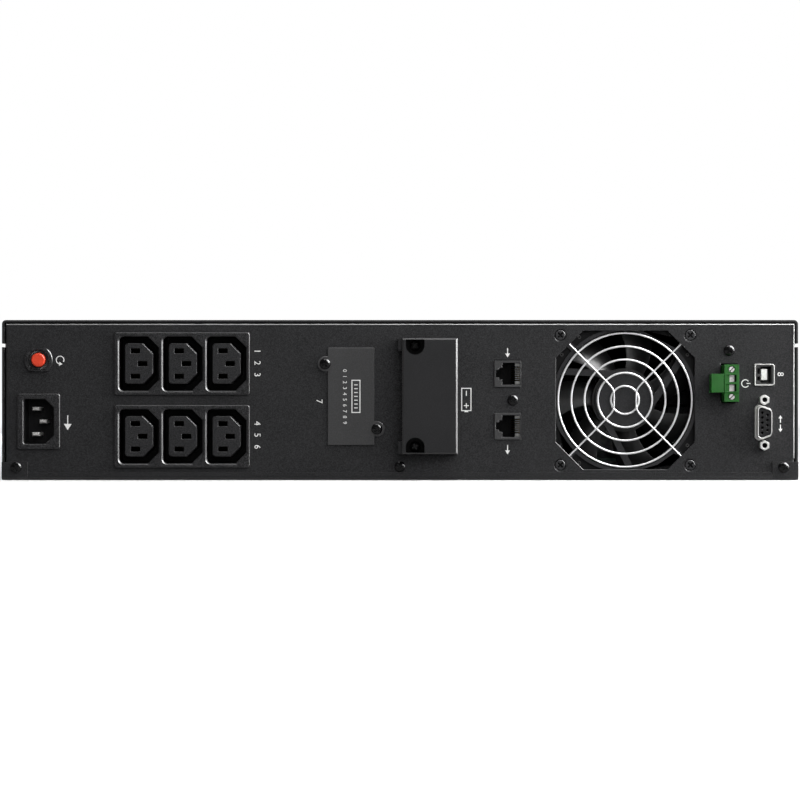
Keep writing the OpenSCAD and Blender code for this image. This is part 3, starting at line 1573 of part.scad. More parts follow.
module front_button(x) {
  color(grey) front(x, button_v) {
    slab(rounded(button_w, button_h, 1.5), bezel_in - 1.2 - button_travel, bezel_d + button_out);
    box(button_w + 3, button_h + 2, bezel_in - 2.2 - button_travel, bezel_in - 0.2 - eps);
    box(3, 3, panel_board + 3.4 + button_travel + 0.3, bezel_in - 2.1 - button_travel);
  }
}

module button_left() {
  front_button(-button_pitch);
}

module button_middle() {
  front_button(0);
}

module button_right() {
  front_button(button_pitch);
}

base_pan();
top_cover();
rear_panel();
front_plate();
front_bezel();
rack_ear_left();
rack_ear_right();
ear_screws();
foot_screws();
side_screws();
reset_breaker();
reset_collar();
reset_button();
inlet_housing();
inlet_pins();
outlet_block_upper();
outlet_block_lower();
outlet_contacts_upper();
outlet_contacts_lower();
slot_cover();
slot_cover_screws();
card_cage();
port_cover();
port_cover_screws();
port_socket();
port_contacts();
data_jack_upper();
data_jack_lower();
jack_contacts();
surge_board();
fan_frame();
fan_rotor();
fan_guard();
fan_screws();
stop_header();
stop_plug();
stop_plug_metal();
usb_shell();
usb_insert();
serial_shell();
serial_insert();
serial_jackscrews();
comm_board();
board_posts();
board_screws();
power_board();
board_standoffs();
heatsinks();
capacitors();
inductors();
transformer();
battery_tray();
batteries();
battery_strap();
display_board();
display_module();
display_window();
button_left();
button_middle();
button_right();
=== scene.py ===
"""Looks of a two-unit rackmount power supply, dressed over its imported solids.

The sheet metal, housings, boards and contacts keep their solids and get edges and finishes here. The screws,
the fan's rotor and guard, the printed marks and the small trims are surfaces worked out on grids of points.
"""

import math

import bpy
import numpy as np
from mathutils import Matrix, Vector


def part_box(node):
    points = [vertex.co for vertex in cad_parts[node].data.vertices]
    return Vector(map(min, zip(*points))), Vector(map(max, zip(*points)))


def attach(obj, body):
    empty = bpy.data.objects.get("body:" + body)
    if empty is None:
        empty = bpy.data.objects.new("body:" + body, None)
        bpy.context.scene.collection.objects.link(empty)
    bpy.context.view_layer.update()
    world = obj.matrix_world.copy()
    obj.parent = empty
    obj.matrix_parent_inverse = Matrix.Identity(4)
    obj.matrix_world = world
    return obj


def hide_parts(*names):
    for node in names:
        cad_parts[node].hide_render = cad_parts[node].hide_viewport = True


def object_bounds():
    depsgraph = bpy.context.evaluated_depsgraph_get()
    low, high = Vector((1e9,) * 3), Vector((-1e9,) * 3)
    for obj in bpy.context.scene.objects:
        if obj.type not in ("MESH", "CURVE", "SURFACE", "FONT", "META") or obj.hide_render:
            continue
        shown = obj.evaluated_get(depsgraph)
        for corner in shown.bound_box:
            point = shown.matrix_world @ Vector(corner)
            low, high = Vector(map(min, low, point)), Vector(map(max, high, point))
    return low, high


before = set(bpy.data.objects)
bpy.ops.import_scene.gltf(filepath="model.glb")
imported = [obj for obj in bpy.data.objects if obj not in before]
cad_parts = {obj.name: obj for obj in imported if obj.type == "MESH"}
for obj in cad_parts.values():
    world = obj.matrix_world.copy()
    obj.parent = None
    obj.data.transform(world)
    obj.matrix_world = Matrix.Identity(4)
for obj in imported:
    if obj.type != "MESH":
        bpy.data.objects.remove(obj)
cad_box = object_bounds()

bl_info = {
    "name": "Rackmount power supply looks",
    "version": (1, 0, 0),
    "blender": (4, 5, 0),
    "location": "View3D > Sidebar > Power supply",
    "description": "Finishes, fan, marks and studio for a rackmount power supply",
    "category": "Object",
}

MM = 0.001
CHASSIS = "chassis"
REAR = (0.0, -1.0, 0.0)
FRONT = (0.0, 1.0, 0.0)
FREE_EDGES = ("outlet_block_upper", "outlet_block_lower", "inlet_housing", "slot_cover", "rear_panel")

# Fields of slots in the front
VENT_MIDDLE = 132.3 * MM
VENT_WIDE = 128 * MM
VENT_HIGH = 61 * MM

# Places that the solids give
PANEL_LOW, PANEL_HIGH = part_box("rear_panel")
PANEL_FACE = PANEL_LOW.y
PANEL_FACE_TOP = PANEL_HIGH.z - 0.6 * MM
PANEL_MIDDLE = (PANEL_LOW.z + PANEL_HIGH.z) / 2
FAN_LOW, FAN_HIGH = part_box("fan_frame")
FAN_CENTRE = ((FAN_LOW.x + FAN_HIGH.x) / 2, PANEL_FACE, (FAN_LOW.z + FAN_HIGH.z) / 2)
ROTOR_LOW, ROTOR_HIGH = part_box("fan_rotor")
COLLAR_LOW, COLLAR_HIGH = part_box("reset_collar")
RESET_CENTRE = ((COLLAR_LOW.x + COLLAR_HIGH.x) / 2, PANEL_FACE, (COLLAR_LOW.z + COLLAR_HIGH.z) / 2)
WINDOW_LOW, WINDOW_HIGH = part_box("display_window")
COVER_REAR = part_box("top_cover")[0].y
GUARD_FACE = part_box("fan_guard")[0].y
PLATE_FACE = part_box("slot_cover")[0].y
PORT_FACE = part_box("port_cover")[0].y


# Settings

def colour_value(name, description, default):
    """A colour setting in linear light."""
    return bpy.props.FloatVectorProperty(
        name=name, description=description, subtype="COLOR", size=3, min=0, max=1, default=default)


def length_value(name, description, default):
    """A length setting in metres."""
    return bpy.props.FloatProperty(name=name, description=description, unit="LENGTH", default=default, min=0)


def angle_value(name, description, degrees):
    """An angle setting, given in degrees."""
    return bpy.props.FloatProperty(
        name=name, description=description, subtype="ANGLE", default=math.radians(degrees))


def power_value(name, description, default):
    """A light's power in watts."""
    return bpy.props.FloatProperty(name=name, description=description, unit="POWER", default=default)


class FinishSettings(bpy.types.PropertyGroup):
    """Colours and edge sizes of the case and its connectors."""

    coat: colour_value("Case coat", "Powder coat of the sheet metal", (0.0215, 0.0216, 0.0228))
    plate: colour_value("Plate coat", "Coat of the slot's cover plate", (0.0500, 0.0500, 0.0510))
    plastic: colour_value("Black plastic", "Moulded housings", (0.0190, 0.0190, 0.0200))
    jack: colour_value("Jack plastic", "Housings of the data jacks", (0.050, 0.050, 0.051))
    red: colour_value("Reset red", "Button of the reset breaker", (0.73, 0.064, 0.028))
    green: colour_value("Plug green", "Stop plug and its header", (0.012, 0.108, 0.012))
    ink: colour_value("Mark ink", "Printed marks", (0.86, 0.86, 0.85))
    sheet_edge: length_value("Sheet edge", "Rounding of sheet-metal edges", 0.30 * MM)
    moulded_edge: length_value("Moulded edge", "Rounding of moulded edges", 0.25 * MM)
    fine_edge: length_value("Fine edge", "Rounding of small edges", 0.10 * MM)


class ScrewSettings(bpy.types.PropertyGroup):
    """Shape of the cross-headed screws."""

    rise: length_value("Head rise", "Height of a pan head", 2.0 * MM)
    side: length_value("Head side", "Height of a pan head's straight side", 0.35 * MM)
    shank: length_value("Shank radius", "Radius of the thread", 1.45 * MM)
    slot: length_value("Slot", "Half width of the recess's arms", 0.42 * MM)
    depth: length_value("Recess depth", "Depth of the cross recess", 1.1 * MM)
    groove: length_value("Groove", "Depth of the groove round a fan screw's head", 0.75 * MM)


class FanSettings(bpy.types.PropertyGroup):
    """Shape of the fan's rotor and guard."""

    blades: bpy.props.IntProperty(name="Blades", description="Number of blades", default=7, min=3)
    first_angle: angle_value("First blade", "Angle of the first blade at rest", 20.6)
    hub: length_value("Hub radius", "Radius of the hub", 17.5 * MM)
    hub_wall: length_value("Hub wall", "Wall of the hub", 1.5 * MM)
    shaft: length_value("Shaft radius", "Radius of the shaft", 1.5 * MM)
    root_chord: length_value("Root chord", "Width of a blade at the hub", 16.5 * MM)
    tip_chord: length_value("Tip chord", "Width of a blade at its tip", 22.5 * MM)
    root_pitch: angle_value("Root pitch", "Slant of a blade at the hub", 45)
    tip_pitch: angle_value("Tip pitch", "Slant of a blade at its tip", 31)
    wire: length_value("Wire", "Thickness of the guard's rings", 1.10 * MM)
    strut_wire: length_value("Strut wire", "Thickness of the guard's struts", 0.90 * MM)
    outer_ring: length_value("Outer ring", "Radius of the guard's outer ring", 36.9 * MM)
    ring_step: length_value("Ring step", "Step between two rings", 7.3 * MM)
    rings: bpy.props.IntProperty(name="Rings", description="Number of rings", default=5, min=1)
    strut: length_value("Strut", "Half distance between the two struts", 6.1 * MM)
    screw_pitch: length_value("Screw pitch", "Spacing of the fan's screws", 71.5 * MM)
    eye: length_value("Eye", "Radius of the guard's eyes, along the wire", 3.05 * MM)


class MarkSettings(bpy.types.PropertyGroup):
    """Size of the printed marks."""

    height: length_value("Height", "Height of a printed figure", 3.4 * MM)
    line: length_value("Line", "Width of a printed line", 0.5 * MM)
    lift: length_value("Lift", "Thickness of the ink", 0.03 * MM)


class StageSettings(bpy.types.PropertyGroup):
    """Camera, floor and light."""

    distance: length_value("Distance", "Camera's distance from the rear edge", 1.25)
    view_width: length_value("View width", "Width seen at the rear edge", 0.4397)
    eye: length_value("Eye height", "Height of the camera", 44 * MM)
    front_power: power_value("Front light", "Power of the softbox beside the camera", 9.5)
    back_power: power_value("Back light", "Power of the softbox on the far side", 6)
    top_power: power_value("Top light", "Power of the overhead softbox", 9)
    side_power: power_value("Right light", "Power of the right-hand softbox", 26)
    corner_power: power_value("Corner light", "Power of the upper right softbox, for gloss", 106)
    ambient: bpy.props.FloatProperty(
        name="Ambient", description="Strength of the surrounding light", default=0.25)
    room: bpy.props.FloatProperty(name="Room", description="Brightness of the room in a gloss", default=0.10)
    floor: colour_value("Floor", "Colour of the floor", (0.86, 0.86, 0.86))


SETTINGS = {
    "supply_finish": FinishSettings,
    "supply_screws": ScrewSettings,
    "supply_fan": FanSettings,
    "supply_marks": MarkSettings,
    "supply_stage": StageSettings,
}


# Meshes

def grid_faces(rows, cols, wrap_rows=False, wrap_cols=False):
    """Quads between neighbouring points of a grid; a wrapped side joins its last line to its first."""
    i, j = np.meshgrid(
        np.arange(rows if wrap_rows else rows - 1), np.arange(cols if wrap_cols else cols - 1), indexing="ij")
    k = (i + 1) % rows
    m = (j + 1) % cols
    return np.stack([i * cols + j, i * cols + m, k * cols + m, k * cols + j], axis=-1).reshape(-1, 4)


def volume_of(points, faces):
    """Signed volume: each face's fan of triangles with the origin, p0 . (p1 x p2) / 6."""
    total = 0.0
    for side in range(1, faces.shape[1] - 1):
        a, b, c = points[faces[:, 0]], points[faces[:, side]], points[faces[:, side + 1]]
        total += np.einsum("ij,ij->", a, np.cross(b, c)) / 6
    return total


def outward(points, faces):
    """The faces of a closed surface, turned so that they point outwards."""
    return faces if volume_of(points, faces) > 0 else faces[:, ::-1]


def joined(surfaces):
    """Several surfaces (points, list of faces) as one."""
    points = []
    faces = []
    start = 0
    for surface_points, surface_faces in surfaces:
        points.append(np.asarray(surface_points))
        faces.extend([[index + start for index in face] for face in surface_faces])
        start += len(surface_points)
    return np.concatenate(points), faces


def closed(points, faces):
    """A closed grid surface, turned outwards, as (points, list of faces)."""
    return points, outward(points, np.asarray(faces)).tolist()


def new_piece(name, points, faces, material, body, smooth_angle=None):
    """A mesh object at the origin that rides on a body, with its sharp edges by angle."""
    mesh = bpy.data.meshes.new(name)
    mesh.from_pydata(np.asarray(points).tolist(), [], faces)
    mesh.materials.append(material)
    mesh.validate()
    if smooth_angle is not None:
        mesh.shade_smooth()
        mesh.set_sharp_from_angle(angle=math.radians(smooth_angle))
    piece = bpy.data.objects.new(name, mesh)
    bpy.context.scene.collection.objects.link(piece)
    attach(piece, body)
    return piece


def capped(points, rows, cols):
    """Rings of points joined into a tube with a flat face on each end, turned outwards: (points, faces)."""
    faces = grid_faces(rows, cols, wrap_cols=True)
    every = faces.tolist() + [list(range(cols))[::-1], list(range((rows - 1) * cols, rows * cols))]
    if volume_of(points - points.mean(axis=0), faces) < 0:
        every = [face[::-1] for face in every]
    return points, every


def set_on(across, up, out, centre, facing):
    """Points across, up and out of a face that looks along a direction, about a centre on it."""
    facing = np.asarray(facing, float)
    upward = np.array([0.0, 0.0, 1.0])
    rightward = np.cross(upward, facing)
    across, up, out = (values[..., None] for values in np.broadcast_arrays(across, up, out))
    return np.asarray(centre) + across * rightward + up * upward + out * facing


def on_fan(across, up, out):
    """Points across, up and out of the panel's face, about the fan's axis."""
    return set_on(across, up, out, FAN_CENTRE, REAR)


def tube(path, radius, sides, wrap=False):
    """A round tube: circles of one radius about each path point, across the path's tangent.

    The path lies in one plane, whose normal is the second axis of each circle: point = path + radius *
    (cos a * side + sin a * normal), with side = tangent x normal.
    """
    path = np.asarray(path, float)
    ahead = np.roll(path, -1, axis=0) - np.roll(path, 1, axis=0)
    if not wrap:
        ahead[0] = path[1] - path[0]
        ahead[-1] = path[-1] - path[-2]
    tangent = ahead / np.linalg.norm(ahead, axis=1, keepdims=True)
    normal = np.array(REAR)
    side = np.cross(tangent, normal)
    angle = np.linspace(0, 2 * np.pi, sides, endpoint=False)
    ring = np.cos(angle)[None, :, None] * side[:, None, :] + np.sin(angle)[None, :, None] * normal
    points = (path[:, None, :] + radius * ring).reshape(-1, 3)
    if wrap:
        return closed(points, grid_faces(len(path), sides, wrap_rows=True, wrap_cols=True))
    return capped(points, len(path), sides)


def rings_of(profile, centre, facing, sides):
    """The points of a profile of (radius, out) turned about an axis.

    point = centre + radius * (cos a, sin a) across the face, and out along its normal.
    """
    profile = np.asarray(profile, float)
    angle = np.linspace(0, 2 * np.pi, sides, endpoint=False)
    radius = profile[:, :1]
    points = set_on(radius * np.cos(angle), radius * np.sin(angle), profile[:, 1:], centre, facing)
    return points.reshape(-1, 3)


def lathe(profile, centre, facing, sides):
    """A profile turned about an axis, with a flat face on its first and last ring."""
    return capped(rings_of(profile, centre, facing, sides), len(profile), sides)


def hoop(profile, centre, facing, sides):
    """A closed profile turned about an axis into a ring."""
    points = rings_of(profile, centre, facing, sides)
    return closed(points, grid_faces(len(profile), sides, wrap_rows=True, wrap_cols=True))


def rounded_block(width, height, low, high, corner, edge, centre, facing):
    """A block with rounded corners and a rounded front edge.

    Its outline has a quarter circle of the corner's radius at each corner. The front edge is a quarter circle
    too: at the angle t the outline shrinks by edge * (1 - cos t) and stands at high - edge + edge * sin t.
    """
    quarter = np.linspace(0, np.pi / 2, 6)
    turn = np.concatenate([quarter + np.pi / 2 * index for index in range(4)])
    signs = np.repeat(np.array([(1, 1), (-1, 1), (-1, -1), (1, -1)]), len(quarter), axis=0)
    rise = np.linspace(0, np.pi / 2, 5)
    shrink = np.concatenate([[0], edge * (1 - np.cos(rise))])[:, None]
    out = np.concatenate([[low], high - edge + edge * np.sin(rise)])[:, None]
    across = signs[:, 0] * (width / 2 - corner) + (corner - shrink) * np.cos(turn)
    up = signs[:, 1] * (height / 2 - corner) + (corner - shrink) * np.sin(turn)
    points = set_on(across, up, out, centre, facing)
    return capped(points.reshape(-1, 3), len(out), len(turn))


def half_disc(radius, gap, low, high, turn, centre, facing):
    """Half a disc, cut off at a gap from its middle: r (cos a, sin a) from a = asin(gap / r) to pi - a."""
    start = math.asin(gap / radius)
    angle = np.linspace(start, np.pi - start, 18) + turn
    points = set_on(
        radius * np.cos(angle), radius * np.sin(angle), np.array([[low], [high]]), centre, facing)
    return capped(points.reshape(-1, 3), 2, len(angle))


def islands(node):
    """The boxes (low, high) of a node's separate solids, by spreading the least label over shared points."""
    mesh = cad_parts[node].data
    points = np.zeros(len(mesh.vertices) * 3)
    mesh.vertices.foreach_get("co", points)
    corners = np.zeros(len(mesh.loops), int)
    mesh.loops.foreach_get("vertex_index", corners)
    keys, index = np.unique(np.round(points.reshape(-1, 3), 6), axis=0, return_inverse=True)
    triangles = index.ravel()[corners].reshape(-1, 3)
    label = np.arange(len(keys))
    before = None
    while before is None or (before != label).any():
        before = label.copy()
        np.minimum.at(label, triangles, before[triangles].min(axis=1, keepdims=True))
    groups = [keys[label == value] for value in np.unique(label)]
    return [(group.min(axis=0), group.max(axis=0)) for group in groups]


def middle_of(low, high):
    """The middle of a box."""
    return (low + high) / 2


# Edges of the solids

def dress(node, material, edge):
    """Give a solid its finish, and round its sharp edges where the edge is over zero.

    Edges of the solids in FREE_EDGES keep their full width beside small features.
    """
    least_gap = 1e-6
    flat_angle = math.radians(0.5)
    sharp_angle = math.radians(34)
    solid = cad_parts[node]
    for slot in solid.material_slots:
        slot.material = material
    weld = solid.modifiers.new("Join triangles", "WELD")
    weld.merge_threshold = least_gap
    flat = solid.modifiers.new("Flat faces", "DECIMATE")
    flat.decimate_type = "DISSOLVE"
    flat.angle_limit = flat_angle
    if edge > 0:
        bevel = solid.modifiers.new("Edge", "BEVEL")
        bevel.width = edge
        bevel.segments = 2
        bevel.limit_method = "ANGLE"
        bevel.angle_limit = sharp_angle
        bevel.harden_normals = True
        bevel.use_clamp_overlap = node not in FREE_EDGES


# Shader nodes

def set_input(tree, socket, value):
    """Link another node's output to an input, or set a plain value on it."""
    if isinstance(value, bpy.types.NodeSocket):
        tree.links.new(value, socket)
    else:
        socket.default_value = value


def object_place(tree):
    """The object's own coordinates."""
    return tree.nodes.new("ShaderNodeTexCoord").outputs["Object"]


def split(tree, vector):
    """A vector's X, Y and Z."""
    parts = tree.nodes.new("ShaderNodeSeparateXYZ")
    tree.links.new(vector, parts.inputs["Vector"])
    return parts.outputs


def surface_normal(tree):
    """The X, Y and Z of the surface's normal."""
    return split(tree, tree.nodes.new("ShaderNodeNewGeometry").outputs["Normal"])


def math_node(tree, operation, first, second=None, clamp=False):
    """One arithmetic node; each operand is a socket or a number."""
    node = tree.nodes.new("ShaderNodeMath")
    node.operation = operation
    node.use_clamp = clamp
    set_input(tree, node.inputs[0], first)
    if second is not None:
        set_input(tree, node.inputs[1], second)
    return node.outputs[0]


def range_node(tree, value, low, high, to_low=0.0, to_high=1.0):
    """Carry a value from one range to another, clamped; each end is a socket or a number."""
    node = tree.nodes.new("ShaderNodeMapRange")
    tree.links.new(value, node.inputs["Value"])
    for label, end in (("From Min", low), ("From Max", high), ("To Min", to_low), ("To Max", to_high)):
        set_input(tree, node.inputs[label], end)
    return node.outputs["Result"]


def noise_node(tree, scale, detail, vector=None):
    """Noise over the object's own coordinates, or over a given vector."""
    node = tree.nodes.new("ShaderNodeTexNoise")
    node.inputs["Detail"].default_value = detail
    tree.links.new(scale, node.inputs["Scale"])
    tree.links.new(object_place(tree) if vector is None else vector, node.inputs["Vector"])
    return node.outputs["Fac"]


def wave_node(tree, scale, distortion, direction):
    """Bands of a wave over the object's own coordinates."""
    node = tree.nodes.new("ShaderNodeTexWave")
    node.bands_direction = direction
    node.inputs["Scale"].default_value = scale
    node.inputs["Distortion"].default_value = distortion
    tree.links.new(object_place(tree), node.inputs["Vector"])
    return node.outputs["Fac"]


def mix_colour(tree, factor, first, second):
    """A colour between two others; each is a socket or three numbers."""
    node = tree.nodes.new("ShaderNodeMix")
    node.data_type = "RGBA"
    tree.links.new(factor, node.inputs["Factor"])
    for label, colour in (("A", first), ("B", second)):
        socket = next(s for s in node.inputs if s.name == label and s.type == "RGBA")
        set_input(tree, socket, colour if isinstance(colour, bpy.types.NodeSocket) else (*colour, 1.0))
    return next(s for s in node.outputs if s.type == "RGBA")


# Shader groups

def new_group(name, inputs, outputs):
    """An empty shader group with its sockets: (tree, input node, output node)."""
    tree = bpy.data.node_groups.new(name, "ShaderNodeTree")
    for label, default in inputs:
        socket = tree.interface.new_socket(label, in_out="INPUT", socket_type="NodeSocketFloat")
        socket.default_value = default
    for label in outputs:
        tree.interface.new_socket(label, in_out="OUTPUT", socket_type="NodeSocketFloat")
    return tree, tree.nodes.new("NodeGroupInput"), tree.nodes.new("NodeGroupOutput")


def grain_group():
    """Height and fleck of a fine grain, and a soft mottle, from two noises of their own scales per metre."""
    tree, taken, given = new_group(
        "Fine grain", [("Grain", 1500.0), ("Mottle", 60.0)], ["Height", "Mottle", "Fleck"])
    height = noise_node(tree, taken.outputs["Grain"], 2.0)
    mottle = noise_node(tree, taken.outputs["Mottle"], 5.0)
    tree.links.new(height, given.inputs["Height"])
    tree.links.new(range_node(tree, mottle, 0.34, 0.66), given.inputs["Mottle"])
    tree.links.new(range_node(tree, height, 0.38, 0.64), given.inputs["Fleck"])
    return tree


def handling_group():
    """Smudges from a soft noise, and hairline scratches where a stretched noise passes a narrow band."""
    half_band = 0.012
    tree, taken, given = new_group("Handling", [("Smudge", 40.0), ("Hairline", 900.0)], ["Smudge", "Scratch"])
    stretch = tree.nodes.new("ShaderNodeMapping")
    stretch.inputs["Rotation"].default_value = (0.5, 0.9, 0.3)
    stretch.inputs["Scale"].default_value = (0.03, 1.0, 1.0)
    tree.links.new(object_place(tree), stretch.inputs["Vector"])
    smudge = noise_node(tree, taken.outputs["Smudge"], 4.0)
    line = noise_node(tree, taken.outputs["Hairline"], 1.0, stretch.outputs["Vector"])
    off_middle = math_node(tree, "ABSOLUTE", math_node(tree, "SUBTRACT", line, 0.5))
    tree.links.new(range_node(tree, smudge, 0.4, 0.7), given.inputs["Smudge"])
    tree.links.new(range_node(tree, off_middle, 0.0, half_band, 1.0, 0.0), given.inputs["Scratch"])
    return tree


def dust_group():
    """Dust that settles on what faces up: the normal's height above a slope, broken up by noise."""
    tree, taken, given = new_group("Settled dust", [("Clump", 120.0)], ["Dust"])
    facing_up = range_node(tree, surface_normal(tree)["Z"], 0.55, 0.95)
    clump = range_node(tree, noise_node(tree, taken.outputs["Clump"], 6.0), 0.35, 0.75)
    tree.links.new(math_node(tree, "MULTIPLY", facing_up, clump), given.inputs["Dust"])
    return tree


def edge_group():
    """Mask of the rounded edges: how far the normal lies off all three axes, nothing on a flat face."""
    tree, taken, given = new_group("Rounded edge", [("Flat", 0.985), ("Round", 0.86)], ["Edge"])
    normal = surface_normal(tree)
    sizes = [math_node(tree, "ABSOLUTE", normal[axis]) for axis in "XYZ"]
    largest = math_node(tree, "MAXIMUM", math_node(tree, "MAXIMUM", sizes[0], sizes[1]), sizes[2])
    edge = range_node(tree, largest, taken.outputs["Flat"], taken.outputs["Round"])
    tree.links.new(edge, given.inputs["Edge"])
    return tree


def painted_shade_group():
    """Mask of painted shade: how far a point lies past a plane across the rear, above a height."""
    tree, taken, given = new_group(
        "Painted shade", [("Start", 0.0), ("End", 0.001), ("Floor", -1.0)], ["Depth"])
    place = split(tree, object_place(tree))
    depth = range_node(tree, place["Y"], taken.outputs["Start"], taken.outputs["End"])
    above = math_node(tree, "GREATER_THAN", place["Z"], taken.outputs["Floor"])
    tree.links.new(math_node(tree, "MULTIPLY", depth, above), given.inputs["Depth"])
    return tree


GROUPS = {
    "Fine grain": grain_group,
    "Handling": handling_group,
    "Settled dust": dust_group,
    "Rounded edge": edge_group,
    "Painted shade": painted_shade_group,
}


def group_node(tree, name, **values):
    """The outputs of a shared group, placed in a material with its own values."""
    node = tree.nodes.new("ShaderNodeGroup")
    node.node_tree = bpy.data.node_groups.get(name) or GROUPS[name]()
    for label, value in values.items():
        node.inputs[label.capitalize()].default_value = value
    return node.outputs


# Finishes

DUST = (0.16, 0.155, 0.15)
DUST_SHARE = 0.04
MOTTLE_SHARE = 0.14
MOTTLE_LIGHT = 1.30


def shader_of(name, **values):
    """A new material, its tree and its Principled shader, with plain values on the shader's own sockets."""
    material = bpy.data.materials.new(name)
    material.use_nodes = True
    shader = material.node_tree.nodes["Principled BSDF"]
    for label, value in values.items():
        shader.inputs[label.replace("_", " ")].default_value = value
    return material, material.node_tree, shader


def feed(tree, shader, **sources):
    """Link what changes over the surface to the shader's inputs."""
    for label, source in sources.items():
        tree.links.new(source, shader.inputs[label.replace("_", " ")])


def bumped(tree, shader, height, strength, distance):
    """Feed a height into the shader's normal."""
    bump = tree.nodes.new("ShaderNodeBump")
    bump.inputs["Strength"].default_value = strength
    bump.inputs["Distance"].default_value = distance
    tree.links.new(height, bump.inputs["Height"])
    feed(tree, shader, Normal=bump.outputs["Normal"])


def times(colour, factor):
    """A colour made lighter or darker."""
    return tuple(min(1.0, channel * factor) for channel in colour)


def off_axis(tree, reach):
    """Mask of what lies further from the fan's axis than a reach: sqrt(x^2 + z^2) over a short ramp."""
    ramp = 0.5 * MM
    place = split(tree, object_place(tree))
    across = math_node(tree, "SUBTRACT", place["X"], FAN_CENTRE[0])
    up = math_node(tree, "SUBTRACT", place["Z"], FAN_CENTRE[2])
    squares = [math_node(tree, "POWER", side, 2.0) for side in (across, up)]
    distance = math_node(tree, "SQRT", math_node(tree, "ADD", *squares))
    return range_node(tree, distance, reach, reach + ramp)


def worn_gloss(tree, handled, rough, smudge, scratch):
    """A roughness that smudges and hairline scratches raise."""
    smudged = range_node(tree, handled["Smudge"], 0, 1, rough, rough + smudge)
    scratched = math_node(tree, "MULTIPLY", handled["Scratch"], scratch)
    return math_node(tree, "ADD", smudged, scratched, clamp=True)


def coated(name, colour, grain, rough, bump, specular=0.10, spread=0.35, edge=1.0,
           shade_planes=None, dark=0.2, floor=-1.0, reach=None):
    """A painted or moulded dark surface: grain in height and tone, dust on top, and edges worn smooth.

    Where two planes across the rear are given, the tone falls to a dark share of itself from the first to
    the second, above the floor and beyond the reach from the fan's axis: painted shade, where the edge coat
    goes too.
    """
    material, tree, shader = shader_of(name, Specular_IOR_Level=specular, Coat_Roughness=0.24, Coat_IOR=1.6)
    grained = group_node(tree, "Fine grain", grain=grain, mottle=45.0)
    dusty = group_node(tree, "Settled dust", clump=140.0)
    toned = mix_colour(tree, grained["Fleck"], times(colour, 1 - spread), times(colour, 1 + spread))
    mottled = math_node(tree, "MULTIPLY", grained["Mottle"], MOTTLE_SHARE)
    shaded = mix_colour(tree, mottled, toned, times(colour, MOTTLE_LIGHT))
    tone = mix_colour(tree, math_node(tree, "MULTIPLY", dusty["Dust"], DUST_SHARE), shaded, DUST)
    # painted shade: darker past the planes, where shade falls in recesses and grooves
    if shade_planes:
        sunk = group_node(tree, "Painted shade", start=shade_planes[0], end=shade_planes[1], floor=floor)["Depth"]
        if reach:
            sunk = math_node(tree, "MULTIPLY", sunk, off_axis(tree, reach))
        tone = mix_colour(tree, sunk, tone, times(colour, dark))
    if edge:
        coat = math_node(tree, "MULTIPLY", group_node(tree, "Rounded edge")["Edge"], edge)
        if shade_planes:
            coat = math_node(tree, "MULTIPLY", coat, math_node(tree, "SUBTRACT", 1.0, sunk))
        feed(tree, shader, Coat_Weight=coat)
    gloss = range_node(tree, grained["Mottle"], 0, 1, rough - 0.02, rough + 0.04)
    feed(tree, shader, Base_Color=tone, Roughness=gloss)
    bumped(tree, shader, grained["Height"], bump, 0.06 * MM)
    return material


def glossy_plastic(name, colour, rough):
    """A coloured plastic: faint flow marks in tone, smudges in gloss, a very fine grain."""
    material, tree, shader = shader_of(name, Specular_IOR_Level=0.25)
    grained = group_node(tree, "Fine grain", grain=2600.0, mottle=170.0)
    handled = group_node(tree, "Handling", smudge=90.0, hairline=2400.0)
    toned = mix_colour(tree, grained["Mottle"], times(colour, 0.86), times(colour, 1.14))
    gloss = range_node(tree, handled["Smudge"], 0, 1, rough, rough + 0.12)
    feed(tree, shader, Base_Color=toned, Roughness=gloss)
    bumped(tree, shader, grained["Height"], 0.06, 0.04 * MM)
    return material


def plated(name, colour, rough, scratch=0.12, tarnish=0.82, metal=1.0):
    """A metal: a slight tarnish in tone, smudges and hairline scratches in gloss."""
    material, tree, shader = shader_of(name, Metallic=metal)
    grained = group_node(tree, "Fine grain", grain=3200.0, mottle=220.0)
    handled = group_node(tree, "Handling", smudge=150.0, hairline=3000.0)
    toned = mix_colour(tree, grained["Mottle"], times(colour, tarnish), colour)
    feed(tree, shader, Base_Color=toned, Roughness=worn_gloss(tree, handled, rough, 0.10, scratch))
    bumped(tree, shader, grained["Height"], 0.03, 0.03 * MM)
    return material


def screw_black(name):
    """Blackened screw steel: glossy, with worn lighter flecks."""
    material, tree, shader = shader_of(name, Specular_IOR_Level=0.4)
    grained = group_node(tree, "Fine grain", grain=2200.0, mottle=400.0)
    toned = mix_colour(tree, grained["Mottle"], (0.0010, 0.0010, 0.0012), (0.003, 0.003, 0.0034))
    feed(tree, shader, Base_Color=toned, Roughness=range_node(tree, grained["Fleck"], 0, 1, 0.14, 0.22))
    bumped(tree, shader, grained["Height"], 0.05, 0.03 * MM)
    return material


def circuit_green(name):
    """Circuit board: solder mask over faint tracks, which are bands of a wave across the board."""
    material, tree, shader = shader_of(name)
    grained = group_node(tree, "Fine grain", grain=900.0, mottle=90.0)
    track = range_node(tree, wave_node(tree, 130.0, 6.0, "X"), 0.72, 0.80)
    toned = mix_colour(tree, track, (0.003, 0.018, 0.008), (0.008, 0.036, 0.016))
    feed(tree, shader, Base_Color=toned, Roughness=range_node(tree, grained["Mottle"], 0, 1, 0.28, 0.42))
    bumped(tree, shader, track, 0.15, 0.04 * MM)
    return material


def copper_winding(name):
    """Enamelled copper: close turns as the bands of a wave about the coil, dark in the grooves between turns
    as painted shade.
    """
    material, tree, shader = shader_of(name, Metallic=0.8)
    turns = wave_node(tree, 190.0, 0.4, "Z")
    toned = mix_colour(tree, turns, (0.13, 0.045, 0.018), (0.62, 0.26, 0.11))
    feed(tree, shader, Base_Color=toned, Roughness=range_node(tree, turns, 0, 1, 0.45, 0.26))
    bumped(tree, shader, turns, 0.5, 0.3 * MM)
    return material


